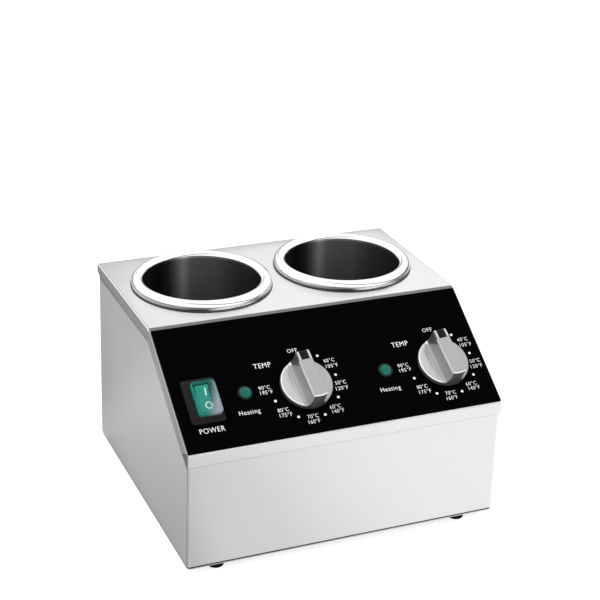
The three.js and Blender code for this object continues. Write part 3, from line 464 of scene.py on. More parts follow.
# Painted light and shade on the knob: a paler copy for plateaus and rails, a dark copy for the shaded side, a
# bright one for edge highlights
knobFloorLit = sheetFinish("knobFloorLit", (0.56, 0.545, 0.56), (0.64, 0.625, 0.64), (0.3, 0.4), (900, 900, 900),
                        metallic=0.8, cloudSize=90.0, strength=0.1)
knobSideShade = sheetFinish("knobSideShade", (0.12, 0.117, 0.12), (0.17, 0.166, 0.17), (0.36, 0.44), (900, 900, 900),
                       metallic=0.6, cloudSize=90.0, strength=0.1)
knobEdgeHighlight = sheetFinish("knobEdgeHighlight", (0.93, 0.92, 0.93), (0.97, 0.96, 0.97), (0.16, 0.22), (90, 90, 90),
                       metallic=0.25, strength=0.02)
panelGloss = mouldFinish("panelGloss", (0.0006, 0.0004, 0.0006), (0.0012, 0.001, 0.0014), (0.06, 0.1),
                         grainSize=500.0, strength=0.02, Specular_IOR_Level=0.01)
# Painted light: the white ink glows a little
inkWhiteGlow = mouldFinish("inkWhiteGlow", (0.93, 0.92, 0.93), (0.97, 0.96, 0.97), (0.4, 0.5), grainSize=2500.0,
                       Emission_Color=(1, 1, 1, 1), Emission_Strength=0.16)
frameBlack = mouldFinish("frameBlack", (0.009, 0.0075, 0.008), (0.015, 0.0125, 0.0135), (0.34, 0.44),
                         grainSize=1600.0, Specular_IOR_Level=0.12)
glandBlack = mouldFinish("glandBlack", (0.014, 0.014, 0.015), (0.024, 0.024, 0.025), (0.45, 0.58),
                         grainSize=1300.0)
insertBlack = mouldFinish("insertBlack", (0.006, 0.0055, 0.006), (0.011, 0.01, 0.011), (0.3, 0.4),
                          grainSize=1800.0, Specular_IOR_Level=0.1)
footRubber = mouldFinish("footRubber", (0.003, 0.003, 0.003), (0.007, 0.007, 0.007), (0.6, 0.75), grainSize=1400.0,
                         strength=0.4, Specular_IOR_Level=0.2)
rockerGreen = mouldFinish("rockerGreen", (0.002, 0.24, 0.18), (0.006, 0.33, 0.25), (0.2, 0.3), grainSize=300.0,
                          strength=0.05)
# Painted shade: a darker copy of the rocker green for its sides
rockerSideShade = mouldFinish("rockerSideShade", (0.0005, 0.018, 0.016), (0.001, 0.03, 0.026), (0.2, 0.3), grainSize=300.0,
                         strength=0.05, Specular_IOR_Level=0.1)
lensGreen = mouldFinish("lensGreen", (0.0, 0.012, 0.01), (0.004, 0.21, 0.16), (0.05, 0.1), grainSize=260.0,
                        strength=0.8, depth=0.0005, Specular_IOR_Level=0.28)
ceramicWhite = mouldFinish("ceramicWhite", (0.66, 0.62, 0.54), (0.76, 0.73, 0.66), (0.5, 0.65), grainSize=1200.0)


switchSize = {"across": -123.3, "up": 48.6, "width": 31, "long": 43.5, "lip": 2, "corner": 3, "seat": 0.8,
              "collarWidth": 28, "collarLong": 40, "collarHigh": 3, "draft": 2, "well": 28.6, "rockerWide": 16,
              "half": 12.5, "horn": 6.2, "valley": 4, "swell": 0.55, "dip": 0.35, "waist": 11.4, "keel": 7,
              "keelDeep": 5, "pivot": 1, "tilt": math.radians(7), "floor": 7, "bodyWide": 25, "bodyLong": 36,
              "bodyDeep": 22, "lipCrown": 0.7, "collarCorner": 3.4, "collarCrown": 0.6, "bodyCorner": 1.5,
              "sink": 0.3, "play": 0.5, "fine": 0.18}
capSize = {"width": 22, "long": 32.5, "high": 5.4, "corner": 3.2, "round": 1.5, "wall": 0.8, "seat": 6.4,
           "fine": 0.15, "nudge": (1.7, -1.1)}
# A painted reflection turns the cap from clear green to a less clear pale blue along way, from start to end in
# metres off the switch's middle
capLook = {"green": (0.003, 0.3, 0.22), "paintedReflection": (0.42, 0.5, 0.6), "clear": 0.07, "reflectionAlpha": 0.42, "rough": 0.08,
           "way": (0.94, -0.34), "start": 0.001, "end": 0.012,
           "rimLitGreen": (0.006, 0.42, 0.3), "rimClear": 0.62, "rimReflectionAlpha": 0.66}


def makeCapFinish(name, green, clear, reflectionAlpha):
    material, nodes, links, shader = newFinish(name, 0.0)
    place = nodes.new("ShaderNodeTexCoord")
    across, up = capLook["way"]
    way = Vector((across, up * math.cos(panel["tilt"]), up * math.sin(panel["tilt"])))
    middleSpot = panelSpot(switchSize["across"], switchSize["up"]).translation.dot(way)
    paintedReflection = nodes.new("ShaderNodeMapRange")
    paintedReflection.interpolation_type = "SMOOTHSTEP"
    paintedReflection.inputs["From Min"].default_value = middleSpot + capLook["start"]
    paintedReflection.inputs["From Max"].default_value = middleSpot + capLook["end"]
    links.new(dotWith(nodes, links, place.outputs["Object"], way), paintedReflection.inputs["Value"])
    mask = paintedReflection.outputs["Result"]
    links.new(tint(nodes, links, mask, green, capLook["paintedReflection"]), shader.inputs["Base Color"])
    alphaAlong = nodes.new("ShaderNodeMapRange")
    alphaAlong.inputs["To Min"].default_value = clear
    alphaAlong.inputs["To Max"].default_value = reflectionAlpha
    links.new(mask, alphaAlong.inputs["Value"])
    links.new(alphaAlong.outputs["Result"], shader.inputs["Alpha"])
    shader.inputs["Roughness"].default_value = capLook["rough"]
    return material


# Painted reflections: soft upright light streaks run down the pots' dark insides, by place across each pot as seen
# along the camera's turn
potLook = {"metallic": 0.5, "rough": 0.3, "turn": shot["turn"],
           "reflectionStreaks": ((-0.055, 0.003), (-0.042, 0.006), (-0.034, 0.03), (-0.028, 0.13), (-0.0205, 0.37),
                       (-0.013, 0.17), (0.0, 0.135), (0.014, 0.12), (0.018, 0.1), (0.03, 0.06),
                       (0.045, 0.035), (0.055, 0.015))}


def makePotInside():
    material, nodes, links, shader = newFinish("potInside", potLook["metallic"])
    place = nodes.new("ShaderNodeTexCoord")
    spot = useGroup(nodes, links, wellPlace, place.outputs["Object"])
    seen = calculate(nodes, links, "MULTIPLY_ADD", spot.outputs["Across"], math.cos(potLook["turn"]),
                     calculate(nodes, links, "MULTIPLY", spot.outputs["Back"], math.sin(potLook["turn"])))
    links.new(greyRamp(nodes, links, seen, -0.06, 0.06, potLook["reflectionStreaks"]), shader.inputs["Base Color"])
    shader.inputs["Roughness"].default_value = potLook["rough"]
    return material


potInside = makePotInside()
capGreen = makeCapFinish("capGreen", capLook["green"], capLook["clear"], capLook["reflectionAlpha"])
# The cap's side walls are more opaque, as they are seen through more plastic, and a lighter green as a painted
# highlight
capRimLit = makeCapFinish("capRimLit", capLook["rimLitGreen"], capLook["rimClear"], capLook["rimReflectionAlpha"])
print("finishes mixed")

nodeFinish = {
    "top_cover": coverSteel, "base_shell": wrapSteel, "rear_panel": wrapSteel, "bottom_plate": zincPlate,
    "control_overlay": panelGloss, "switch_housing": frameBlack, "switch_cap": capGreen,
    "switch_rocker": rockerGreen, "cable_gland": glandBlack, "gland_locknut": glandBlack,
    "terminal_block": ceramicWhite, "earth_stud": bareBrass,
}
nodeFinishByStart = (
    ("rear_screw", zincPlate), ("foot_screw", zincPlate), ("foot_", footRubber), ("well_", potOutside),
    ("pot_", rimChrome), ("heater_band", heatedMica), ("band_bolt", zincPlate), ("heater_terminal", ceramicWhite),
    ("thermostat", zincPlate), ("knob_shaft", zincPlate), ("knob_insert", insertBlack), ("knob_", knobSatin),
    ("lamp_lens", lensGreen), ("lamp_", frameBlack), ("sensor", bareCopper),
)


def dressNodes():
    for name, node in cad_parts.items():
        finish = nodeFinish.get(name)
        if finish is None:
            finish = next(f for start, f in nodeFinishByStart if name.startswith(start))
        node.data.materials.clear()
        node.data.materials.append(finish)


dressNodes()
print("packed nodes dressed")


# Top cover: one folded sheet

# hang is how far the blank reaches below the slope before it is trimmed, spare how far cutters reach past it
coverSize = {"out": 151.2, "front": -140.35, "rear": 126.05, "foot": 120.5, "flange": 12, "sideBend": 1.5,
             "lowerBend": 1.6, "topBend": 8.4, "freeEdge": 0.8, "rearBend": 2, "relief": 2.6,
             "mitre": math.radians(30), "chamferLong": 12, "chamferHigh": 4.5, "wellHole": 58.15,
             "bendSteps": 5, "hang": 30, "spare": 10}


def slantedTool(name, outline, left, right):
    deselectAll()
    bpy.ops.mesh.primitive_circle_add(vertices=len(outline), radius=1, fill_type="NGON")
    tool = bpy.context.object
    tool.name = name
    for vertex, (y, z) in zip(tool.data.vertices, outline):
        vertex.co = (left, y, z)
    openMesh(tool)
    bpy.ops.mesh.extrude_region_move(TRANSFORM_OT_translate={"value": (right - left, 0, 0)})
    bpy.ops.mesh.select_all(action="SELECT")
    bpy.ops.mesh.normals_make_consistent(inside=False)
    closeMesh()
    return tool


def sideFlangeOutline():
    c = coverSize
    tilt = panel["tilt"]
    start = (c["front"] + c["relief"] * math.cos(tilt), c["foot"] + c["relief"] * math.sin(tilt))
    reach = c["flange"] / math.sin(tilt + c["mitre"])
    mitre = (start[0] + reach * math.cos(c["mitre"]), start[1] - reach * math.sin(c["mitre"]))
    bend = c["front"] + panel["run"] + c["flange"] * math.tan(tilt / 2)
    low = body["top"] - c["flange"]
    deep = c["foot"] - c["hang"] - c["spare"]
    ahead, behind = c["front"] - c["spare"], c["rear"] + c["spare"]
    return [(ahead, deep), (behind, deep), (behind, low + c["chamferHigh"]), (c["rear"], low + c["chamferHigh"]),
            (c["rear"] - c["chamferLong"], low), (bend, low), mitre, start, (ahead, start[1])]


def makeCover():
    c = coverSize
    tilt, lowest = panel["tilt"], c["foot"] - c["hang"]
    sheet = addBlock("coverSheet", (-c["out"], c["front"], lowest), (c["out"], c["rear"], body["top"]))
    openMesh(sheet)
    bpy.ops.mesh.bisect(plane_co=(0, c["front"], c["foot"]), plane_no=(0, -math.sin(tilt), math.cos(tilt)),
                        use_fill=True, clear_outer=True)
    folds = ((c["foot"], c["front"], c["lowerBend"] * math.tan(math.pi / 4 - tilt / 2)),
             (body["top"], c["front"] + panel["run"], c["topBend"] * math.tan(tilt / 2)),
             (body["top"], c["rear"], c["rearBend"]))
    for high, back, bend in folds:
        pick("EDGE", lambda e: along(e, 0) and abs(middle(e).z - high) < 0.5 and abs(middle(e).y - back) < 0.5)
        bevelPicked(bend, c["bendSteps"])
    pick("EDGE", lambda e: abs(middle(e).x) > c["out"] - 0.01 and not all(v.co.z < lowest + 0.01 for v in e.verts))
    bevelPicked(c["sideBend"], c["bendSteps"])
    pick("FACE", lambda f: f.normal.z < -0.9)
    bpy.ops.mesh.delete(type="FACE")
    closeMesh()
    makeWall(sheet, body["sheet"])
    outline = sideFlangeOutline()
    inner, outer, spare = c["out"] - c["sideBend"], c["out"] + c["spare"], c["spare"]
    cutAway(sheet, slantedTool("leftTrim", outline, -outer, -inner))
    cutAway(sheet, slantedTool("rightTrim", outline, inner, outer))
    for edge, high in ((c["front"], c["foot"]), (c["rear"], body["top"])):
        cutAway(sheet, addBlock("endTrim", (-outer, edge - spare, lowest - spare),
                                (outer, edge + spare, high - c["flange"])))
    for across in well["across"]:
        cutAway(sheet, addRound("wellHole", c["wellHole"], body["top"] - spare, body["top"] + spare, 128,
                                (across, well["back"])))
    openMesh(sheet)
    pick("EDGE", lambda e: any(f.normal.z < -0.2 for f in e.link_faces)
         and (abs(middle(e).x) > c["out"] - 0.01 or abs(middle(e).y - c["front"]) < 0.01)
         and any(abs(f.normal.x) > 0.99 or f.normal.y < -0.99 for f in e.link_faces))
    bevelPicked(c["freeEdge"], 1)
    closeMesh()
    shades = [coverShade(face) for face in sheet.data.polygons]
    settle(sheet, worldSpot(), 35)
    handOver(sheet, "body", (coverSteel, plateSteelShaded, flangeSteelShaded, slopeFlangeShaded, foldShade, foldShine, seamShade),
             "stainless_steel", "top_cover")
    paintFaces(sheet, shades)


# The flanges, folds and lower edges get painted shade, the fold's edge a painted highlight, and the top plate its
# shaded copy
def coverShade(face):    # number of the finish in the list above, by which part of the sheet the face is on
    c = coverSize
    spot, way = face.center, face.normal
    fold = c["front"] + panel["run"]
    side = way.x * (1 if spot.x > 0 else -1)
    if -0.97 < way.z < -0.1:
        return 2 if way.y < -0.3 and side < 0.1 else 6
    if side > 0.99 and abs(spot.x) > c["out"] - 0.05:
        return 3 if spot.y < fold - 1 else 2
    if 0.1 < side < 0.99 and way.z > 0.05:
        return 4 if side < 0.4 else 2 if spot.y < fold - 1 else 5
    if way.y > 0.15 and way.z > 0.3:
        return 4
    if abs(side) < 0.05 and abs(spot.y - fold) < c["topBend"] and 0.84 < way.z < 0.9995:
        return 1 if way.z > 0.99 else 4
    return 1 if way.z > 0.9995 else 0


makeCover()
print("cover folded")


# Base shell: front and sides in one wrap

# shadow is the height of the dark strip on the walls under the cover's side flanges
wrapSize = {"corner": 2.6, "lowBend": 1.7, "shadow": 2.4, "flange": 16, "rearFlange": 12, "gap": 0.3, "spare": 10}


def makeWrap():
    w = wrapSize
    half, front, rear = body["half"], body["front"], body["rear"] - body["sheet"]
    low = body["floor"] + body["sheet"]
    spare, above = w["spare"], body["top"] + 2 * w["spare"]
    sheet = addBlock("wrapSheet", (-half, front, low), (half, rear, body["top"] + spare))
    openMesh(sheet)
    pick("EDGE", lambda e: along(e, 2))
    bevelPicked(w["corner"], 6)
    pick("EDGE", lambda e: middle(e).z < low + 0.01)
    bevelPicked(w["lowBend"], 3)
    pick("FACE", lambda f: f.normal.z > 0.9)
    bpy.ops.mesh.delete(type="FACE")
    closeMesh()
    makeWall(sheet, body["sheet"])
    under = body["sheet"] + w["gap"]
    drop = under / math.cos(panel["tilt"])
    climb = panel["rise"] / panel["run"]
    edge = coverSize["front"]
    bendBack = edge + panel["run"] + under * math.tan(panel["tilt"] / 2)
    roof = slantedTool("roof", [(edge - spare, coverSize["foot"] - drop - spare * climb),
                                (bendBack, body["top"] - under), (rear + spare, body["top"] - under),
                                (rear + spare, above), (edge - spare, above)], -half - spare, half + spare)
    floorCut = addBlock("floorCut", (w["flange"] - half, front + w["flange"], low - spare / 2),
                        (half - w["flange"], rear - w["flange"], low + spare / 2))
    rearCut = addBlock("rearCut", (w["rearFlange"] - half, rear - spare / 2, low + w["flange"]),
                       (half - w["rearFlange"], rear + spare / 2, above))
    cutAway(sheet, floorCut, rearCut, roof)
    bend, strip, tilt = underFlange()
    openMesh(sheet)
    for point, way in (((0, 0, strip), (0, 0, 1)), ((0, bend, strip), (0, -math.sin(tilt), math.cos(tilt)))):
        bpy.ops.mesh.select_all(action="SELECT")
        bpy.ops.mesh.bisect(plane_co=point, plane_no=way)
    closeMesh()
    shades = [wrapShade(face) for face in sheet.data.polygons]
    settle(sheet, worldSpot(), 35)
    handOver(sheet, "body", (wrapSteel, seamShade, foldShine, cornerShade), "stainless_steel", "base_shell")
    paintFaces(sheet, shades)


def underFlange():    # where the strip under the flanges bends, how low it is there, and the slope's tilt
    c, shadow, tilt = coverSize, wrapSize["shadow"], panel["tilt"]
    return (c["front"] + panel["run"] + (c["flange"] - shadow) * math.tan(tilt / 2),
            body["top"] - c["flange"] - shadow, tilt)


def wrapShade(face):
    w = wrapSize
    spot, way = face.center, face.normal
    bend, low, tilt = underFlange()
    overSlope = (bend - spot.y) * math.sin(tilt) + (spot.z - low) * math.cos(tilt)
    if abs(way.x) > 0.99 and (spot.z > low or overSlope > 0):
        return 3
    side = way.x * (1 if spot.x > 0 else -1)
    if -0.97 < way.z < -0.1 and spot.z < body["floor"] + body["sheet"] + w["lowBend"]:
        return 1
    if abs(way.z) < 0.1 and 0.06 < side < 0.98 and way.y < 0 and spot.y < body["front"] + w["corner"]:
        return 3 if side > 0.8 else 2 if side < 0.6 else 0
    return 0


makeWrap()
print("base wrapped")


# Wells and pots

wellSize = {"radius": 57, "wall": 0.8, "depth": 140, "corner": 6, "rim": 66.9, "rimHigh": 1, "rimRound": 0.5,
            "throat": (1.2, 0.3, 0.15)}
potSize = {"radius": 54.4, "wall": 0.8, "taper": 1, "drop": 130, "corner": 8, "rim": 66.2, "top": 8.8, "seat": 1.3,
           "curl": 10, "polished": 0.45}


def makeWells():
    w = wellSize
    outside, edge = w["radius"] + w["wall"], w["rim"] - w["rimRound"]
    floor = -w["depth"]
    start, end, drop = w["throat"]
    profile = [(0, floor)] + arc((outside - w["corner"], floor + w["corner"]), w["corner"], -90, 0, 6)
    profile += [(outside, 0), (edge, 0)]
    profile += arc((edge, w["rimHigh"] / 2), w["rimRound"], -60, 60, 4)
    profile += [(edge, w["rimHigh"]), (outside + start, w["rimHigh"])]
    profile += [(outside + end, w["rimHigh"] - drop), (w["radius"], 0)]
    profile += arc((outside - w["corner"], floor + w["corner"]), w["corner"] - w["wall"], 0, -90, 6)
    profile += [(0, floor + w["wall"])]
    for name, number in sides:
        sleeve = turnProfile("wellSleeve" + name.capitalize(), profile, 112)
        settle(sleeve, wellSpot(number), 40)
        # the sleeve carries the painted shadow under the rim
        handOver(sleeve, "body", wellSleeveShadow, "polished_steel", "well_" + name)


def makePots():
    p = potSize
    rimHigh = (p["top"] - p["seat"]) / (1 + math.sin(math.radians(p["curl"])))
    level = p["top"] - rimHigh
    centre = ((p["rim"] + p["radius"]) / 2, level)
    wide = (p["rim"] - p["radius"]) / 2
    floor, thin = -p["drop"], p["wall"]
    bend = p["radius"] - p["taper"] - p["corner"]
    foot = (bend, floor + p["corner"] + thin)
    profile = [(0, floor)] + arc((bend + thin, foot[1]), p["corner"], -90, 0, 8, p["corner"] + thin)
    profile += [(p["radius"] + thin, level)]
    profile += arc(centre, wide - thin, 180, -p["curl"], 22, rimHigh - thin)[1:]
    profile += arc(centre, wide, -p["curl"], 180, 26, rimHigh)
    profile += arc(foot, p["corner"], 0, -90, 8)
    profile += [(0, floor + thin)]
    for name, number in sides:
        pot = turnProfile("pot" + name.capitalize(), profile, 128)
        settle(pot, wellSpot(number), 50)
        handOver(pot, "pot_" + name, (rimChrome, potInside, potOutside), "polished_steel", "pot_" + name)
        axis = Vector((well["across"][number], well["back"], 0)) * mm
        for face in pot.data.polygons:
            out = Vector((face.center.x, face.center.y, 0)) - axis
            reach = out.length / mm
            inward = face.normal.dot(out) < 0 or face.normal.z > 0.5
            high = face.center.z / mm - body["top"]
            if inward and floor + 0.1 < high < level + rimHigh * p["polished"] and reach < centre[0] - 1:
                face.material_index = 1
            elif high < level - 0.01 and reach < p["radius"] + thin + 0.2:
                face.material_index = 2


makeWells()
makePots()
print("wells and pots turned")


# Thermostat knobs: a turned blank with two scooped flanks, a slot at the pointer end and a black insert

# In the knob's own frame the pointer looks along y. Everything past the shade plane is in the slanted end's shadow
knobSize = {"base": 23.8, "radius": 23.5, "high": 24, "lift": 1.3, "disc": 6.6, "half": 6, "halfFoot": 9,
            "footRound": 1.6, "scoop": 9.8, "scoopAcross": 3.9, "scoopDeep": 10.4, "scoopHigh": 16.3,
            "chord": 11.2, "rim": 0.7, "shoulder": 1.1, "soft": 1.25, "arcEdge": 0.95, "chordEdge": 0.8,
            "fine": 0.14, "slot": 4, "slotStart": 13.9, "slotFloor": 14, "shadeFrom": (7, 24),
            "shadeWay": (0.801, 0.599), "past": 40}
# How near to the rim, disc, top and chord a face gets painted highlight, paler plateau or painted shade, and how
# far back the end's painted highlight and how far aside the painted shade start
knobZones = {"rim": 2, "disc": 1.3, "top": 1.2, "chord": 0.8, "back": -15, "aside": -4.5}
insertSize = {"play": 0.06, "under": 0.05, "proud": 0.25, "nose": 2.4, "reach": 0.3, "soft": 0.4}


def makeFlankTool(side):
    k = knobSize
    low, high = k["disc"], k["high"] + 4
    foot = k["halfFoot"]
    slant = (foot - k["half"]) / (k["high"] - k["disc"])
    tool = addBlock("flankTool", (foot, -k["past"], low), (k["past"], k["past"], high))
    openMesh(tool)
    pick("VERT", lambda v: v.co.x < foot + 0.1 and v.co.z > high - 0.1)
    bpy.ops.transform.translate(value=(-slant * (high - low), 0, 0))
    pick("EDGE", lambda e: along(e, 1) and middle(e).x < foot + 0.1 and middle(e).z < low + 0.1)
    bevelPicked(k["footRound"], 5)
    if side < 0:
        bpy.ops.mesh.select_all(action="SELECT")
        bpy.ops.transform.rotate(value=math.pi, orient_axis="Z", center_override=(0, 0, 0))
    closeMesh()
    return tool


def makeScoopTool(side):
    k = knobSize
    deselectAll()
    bpy.ops.mesh.primitive_cylinder_add(vertices=96, radius=1, depth=2, rotation=(math.pi / 2, 0, 0))
    tool = bpy.context.object
    bpy.ops.object.transform_apply(location=True, rotation=True, scale=True)
    openMesh(tool)
    bpy.ops.transform.resize(value=(k["scoopAcross"], k["past"], k["scoopDeep"]), center_override=(0, 0, 0))
    bpy.ops.transform.translate(value=(side * k["scoop"], 0, k["scoopHigh"]))
    closeMesh()
    return tool


def makeKnob(name, number):
    k = knobSize
    profile = [(0, k["lift"]), (k["base"] - k["rim"], k["lift"])]
    profile += arc((k["base"] - k["rim"], k["lift"] + k["rim"]), k["rim"], -80, 0, 4)
    profile += arc((k["radius"] - k["shoulder"], k["high"] - k["shoulder"]), k["shoulder"], 4, 86, 6)
    profile += [(0, k["high"])]
    knob = turnProfile("knob" + name.capitalize(), profile, 128)
    cutAway(knob, makeFlankTool(1), makeFlankTool(-1))
    openMesh(knob)
    pick("EDGE", lambda e: abs(middle(e).z - k["disc"]) < 0.05 and math.hypot(*middle(e).xy) > k["radius"] - 0.4)
    bevelPicked(k["arcEdge"], 3)
    closeMesh()
    softenEdges(knob, k["soft"], 4, 38)
    cutAway(knob, makeScoopTool(1), makeScoopTool(-1))
    openMesh(knob)
    pick("EDGE", lambda e: along(e, 1) and abs(abs(middle(e).x) - k["chord"]) < 0.4
         and abs(middle(e).z - k["disc"]) < 0.1)
    bevelPicked(k["chordEdge"], 3)
    closeMesh()
    cutAway(knob, addBlock("slotTool", (-k["slot"], k["slotStart"], k["slotFloor"]),
                           (k["slot"], k["past"], k["past"])))
    openMesh(knob)
    for point, way in (((k["slotStart"], 0), (1, 0)), (k["shadeFrom"], k["shadeWay"])):
        bpy.ops.mesh.select_all(action="SELECT")
        bpy.ops.mesh.bisect(plane_co=(0, *point), plane_no=(0, *way))
    closeMesh()
    softenEdges(knob, k["fine"], 2, 42)
    insert = makeInsert(name)
    spot = panelSpot(dial["across"][number], dial["up"], dial["rest"])
    shades = [knobShade(face) for face in knob.data.polygons]
    settle(knob, spot, 32)
    settle(insert, spot, 32)
    handOver(knob, "knob_" + name, (knobSatin, knobFloorLit, knobEdgeHighlight, knobSideShade), "satin_silver", "knob_" + name)
    paintFaces(knob, shades)
    handOver(insert, "knob_" + name, insertBlack, "black_plastic", "knob_insert_" + name)


def knobShade(face):    # 0 satin, 1 plateau and rails painted paler as lit, 2 painted highlight along edges, 3 painted shade on the side
    k, zones = knobSize, knobZones
    spot, way = face.center, face.normal
    atRim = math.hypot(spot.x, spot.y) > k["radius"] - zones["rim"]
    atDisc = abs(spot.z - k["disc"]) < zones["disc"] and spot.x < 0
    slanting = 0.15 < way.z < 0.97
    beyond = (spot.y - k["shadeFrom"][0]) * k["shadeWay"][0] + (spot.z - k["shadeFrom"][1]) * k["shadeWay"][1]
    if spot.z > k["high"] - zones["top"]:
        if spot.y > k["slotStart"] and abs(spot.x) > k["slot"]:
            return 1
        if slanting and (spot.x < 0 or spot.y < zones["back"]):
            return 2
    if atDisc and (slanting and atRim or abs(spot.x + k["chord"]) < zones["chord"]):
        return 2
    if atDisc and way.z > 0.97:
        return 1
    if atRim and abs(way.z) < 0.16 and spot.y < k["slotStart"]:
        return 3
    return 3 if beyond > 0 and spot.x < zones["aside"] and way.z < 0.9 else 0


def makeInsert(name):
    k, i = knobSize, insertSize
    reach = math.sqrt(k["radius"] ** 2 - k["slot"] ** 2)
    half = k["slot"] - i["play"]
    insert = addBlock("knobInsert" + name.capitalize(),
                      (-half, k["slotStart"] + i["play"], k["slotFloor"] + i["under"]),
                      (half, reach + i["reach"], k["high"] + i["proud"]))
    openMesh(insert)
    pick("EDGE", lambda e: along(e, 0) and middle(e).y > reach and middle(e).z > k["high"])
    bevelPicked(i["nose"], 8)
    closeMesh()
    softenEdges(insert, i["soft"], 3, 50)
    return insert


for name, number in sides:
    makeKnob(name, number)
print("knobs shaped")


# Power switch: snap-in frame with a collar, green rocker and a clear green splash cap

def roundedBlock(name, width, long, low, high, corner, draft=0.0, crown=0.0, crownSteps=4):
    block = addBlock(name, (-width / 2, -long / 2, low), (width / 2, long / 2, high))
    openMesh(block)
    pick("EDGE", lambda e: along(e, 2))
    bevelPicked(corner, 8)
    if draft:
        pick("VERT", lambda v: v.co.z > high - 0.01)
        bpy.ops.transform.resize(value=((width - 2 * draft) / width, (long - 2 * draft) / long, 1))
    if crown:
        pick("EDGE", lambda e: middle(e).z > high - 0.01 and any(f.normal.z < 0.9 for f in e.link_faces))
        bevelPicked(crown, crownSteps)
    closeMesh()
    return block


def makeSwitchFrame():
    s = switchSize
    rim = s["seat"] + s["lip"]
    lipPlate = roundedBlock("switchFrame", s["width"], s["long"], s["seat"], rim, s["corner"], crown=s["lipCrown"])
    collar = roundedBlock("switchCollar", s["collarWidth"], s["collarLong"], rim - s["sink"],
                          rim + s["collarHigh"], s["collarCorner"], draft=s["draft"], crown=s["collarCrown"])
    under = roundedBlock("switchBody", s["bodyWide"], s["bodyLong"], -s["bodyDeep"], s["seat"] + s["sink"],
                         s["bodyCorner"])
    fuse(lipPlate, collar, under)
    halfWide = s["rockerWide"] / 2 + s["play"]
    cutAway(lipPlate, addBlock("rockerWell", (-halfWide, -s["well"] / 2, s["seat"] - s["floor"]),
                               (halfWide, s["well"] / 2, s["seat"] + 2 * s["floor"])))
    softenEdges(lipPlate, s["fine"], 2, 50)
    settle(lipPlate, panelSpot(s["across"], s["up"]), 34)
    handOver(lipPlate, "body", frameBlack, "black_plastic", "switch_housing")


def makeSplashCap():
    c = capSize
    shell = roundedBlock("splashCap", c["width"], c["long"], c["seat"], c["seat"] + c["high"], c["corner"],
                         crown=c["round"], crownSteps=6)
    openMesh(shell)
    pick("FACE", lambda f: f.normal.z < -0.9)
    bpy.ops.mesh.delete(type="FACE")
    closeMesh()
    makeWall(shell, c["wall"])
    softenEdges(shell, c["fine"], 2, 60)
    across, up = c["nudge"]
    wallStart = (c["width"] / 2 - c["round"], c["long"] / 2 - c["round"])
    shades = [int(f.normal.z < 0.85 and f.normal.dot((f.center.x, f.center.y, 0)) > 0
                  and (abs(f.center.x) > wallStart[0] or abs(f.center.y) > wallStart[1]))
              for f in shell.data.polygons]
    settle(shell, panelSpot(switchSize["across"] + across, switchSize["up"] + up), 40)
    handOver(shell, "body", (capGreen, capRimLit), "green_plastic", "switch_cap")
    paintFaces(shell, shades)


rockerEdge = {"side": 1.9, "fine": 0.25}
# on and off say across, up, height and lean in degrees
markSize = {"wide": 1.05, "tall": 6.7, "thick": 0.5, "inside": 2.45, "outside": 3.3, "stretch": 1.08,
            "on": (3, 6.6, 4.35, 12), "off": (3, -6.2, 4.3, -12)}


def rockerOutline():
    s = switchSize
    swell = (s["half"] * s["swell"], s["valley"] + s["swell"])
    right = [swell, (s["half"], s["horn"]), (s["waist"], 0), (s["keel"], -s["keelDeep"])]
    left = [(-y, z) for y, z in reversed(right)]
    return left[2:] + [(0, s["valley"] - s["dip"])] + right + left[:2]


def makeRocker():
    s = switchSize
    half = s["rockerWide"] / 2
    rocker = slantedTool("rockerPaddle", rockerOutline(), -half, half)
    openMesh(rocker)
    pick("EDGE", lambda e: abs(middle(e).x) > half - 0.01 and middle(e).z > s["valley"] - 1)
    bevelPicked(rockerEdge["side"], 2)
    closeMesh()
    softenEdges(rocker, rockerEdge["fine"], 2, 30)
    # painted shade on the rocker's sides
    shades = [int(abs(face.normal.x) > 0.25) for face in rocker.data.polygons]
    pivot = panelSpot(s["across"], s["up"]) @ Matrix.Translation((0, 0, s["pivot"] + s["seat"]))
    spot = pivot @ Matrix.Rotation(s["tilt"], 4, "X")
    settle(rocker, spot, 30)
    handOver(rocker, "rocker", (rockerGreen, rockerSideShade), "green_plastic", "switch_rocker")
    paintFaces(rocker, shades)
    makeRockerMarks(spot)


def makeRockerMarks(spot):
    m = markSize
    stroke = addBlock("rockerMarks", (-m["wide"] / 2, -m["tall"] / 2, 0),
                      (m["wide"] / 2, m["tall"] / 2, m["thick"]))
    leanOver(stroke, m["on"])
    ring = turnProfile("offRing", [(m["inside"], 0), (m["outside"], 0), (m["outside"], m["thick"]),
                                   (m["inside"], m["thick"]), (m["inside"], 0)], 48)
    openMesh(ring)
    bpy.ops.transform.resize(value=(1, m["stretch"], 1), center_override=(0, 0, 0))
    closeMesh()
    leanOver(ring, m["off"])
    marks = joinPieces("rockerMarks", [stroke, ring])
    settle(marks, spot, 30)
    handOver(marks, "rocker", inkWhiteGlow, "gloss_black_print")


def leanOver(mark, seat):
    across, up, high, lean = seat
    openMesh(mark)
    bpy.ops.transform.rotate(value=-math.radians(lean), orient_axis="X", center_override=(0, 0, 0))
    bpy.ops.transform.translate(value=(across, up, high))
    closeMesh()


makeSwitchFrame()
makeRocker()
makeSplashCap()
print("switch put together")


# Indicator lamps: bezel ring and domed lens

lampSize = {"radius": 7, "high": 2, "round": 0.8, "lens": 5.6, "dome": 2.6, "lensSeat": 1.4, "barrel": 5,
            "long": 24, "seat": 1.1, "lap": 0.2, "play": 0.1, "break": 0.25, "sunk": 0.5}


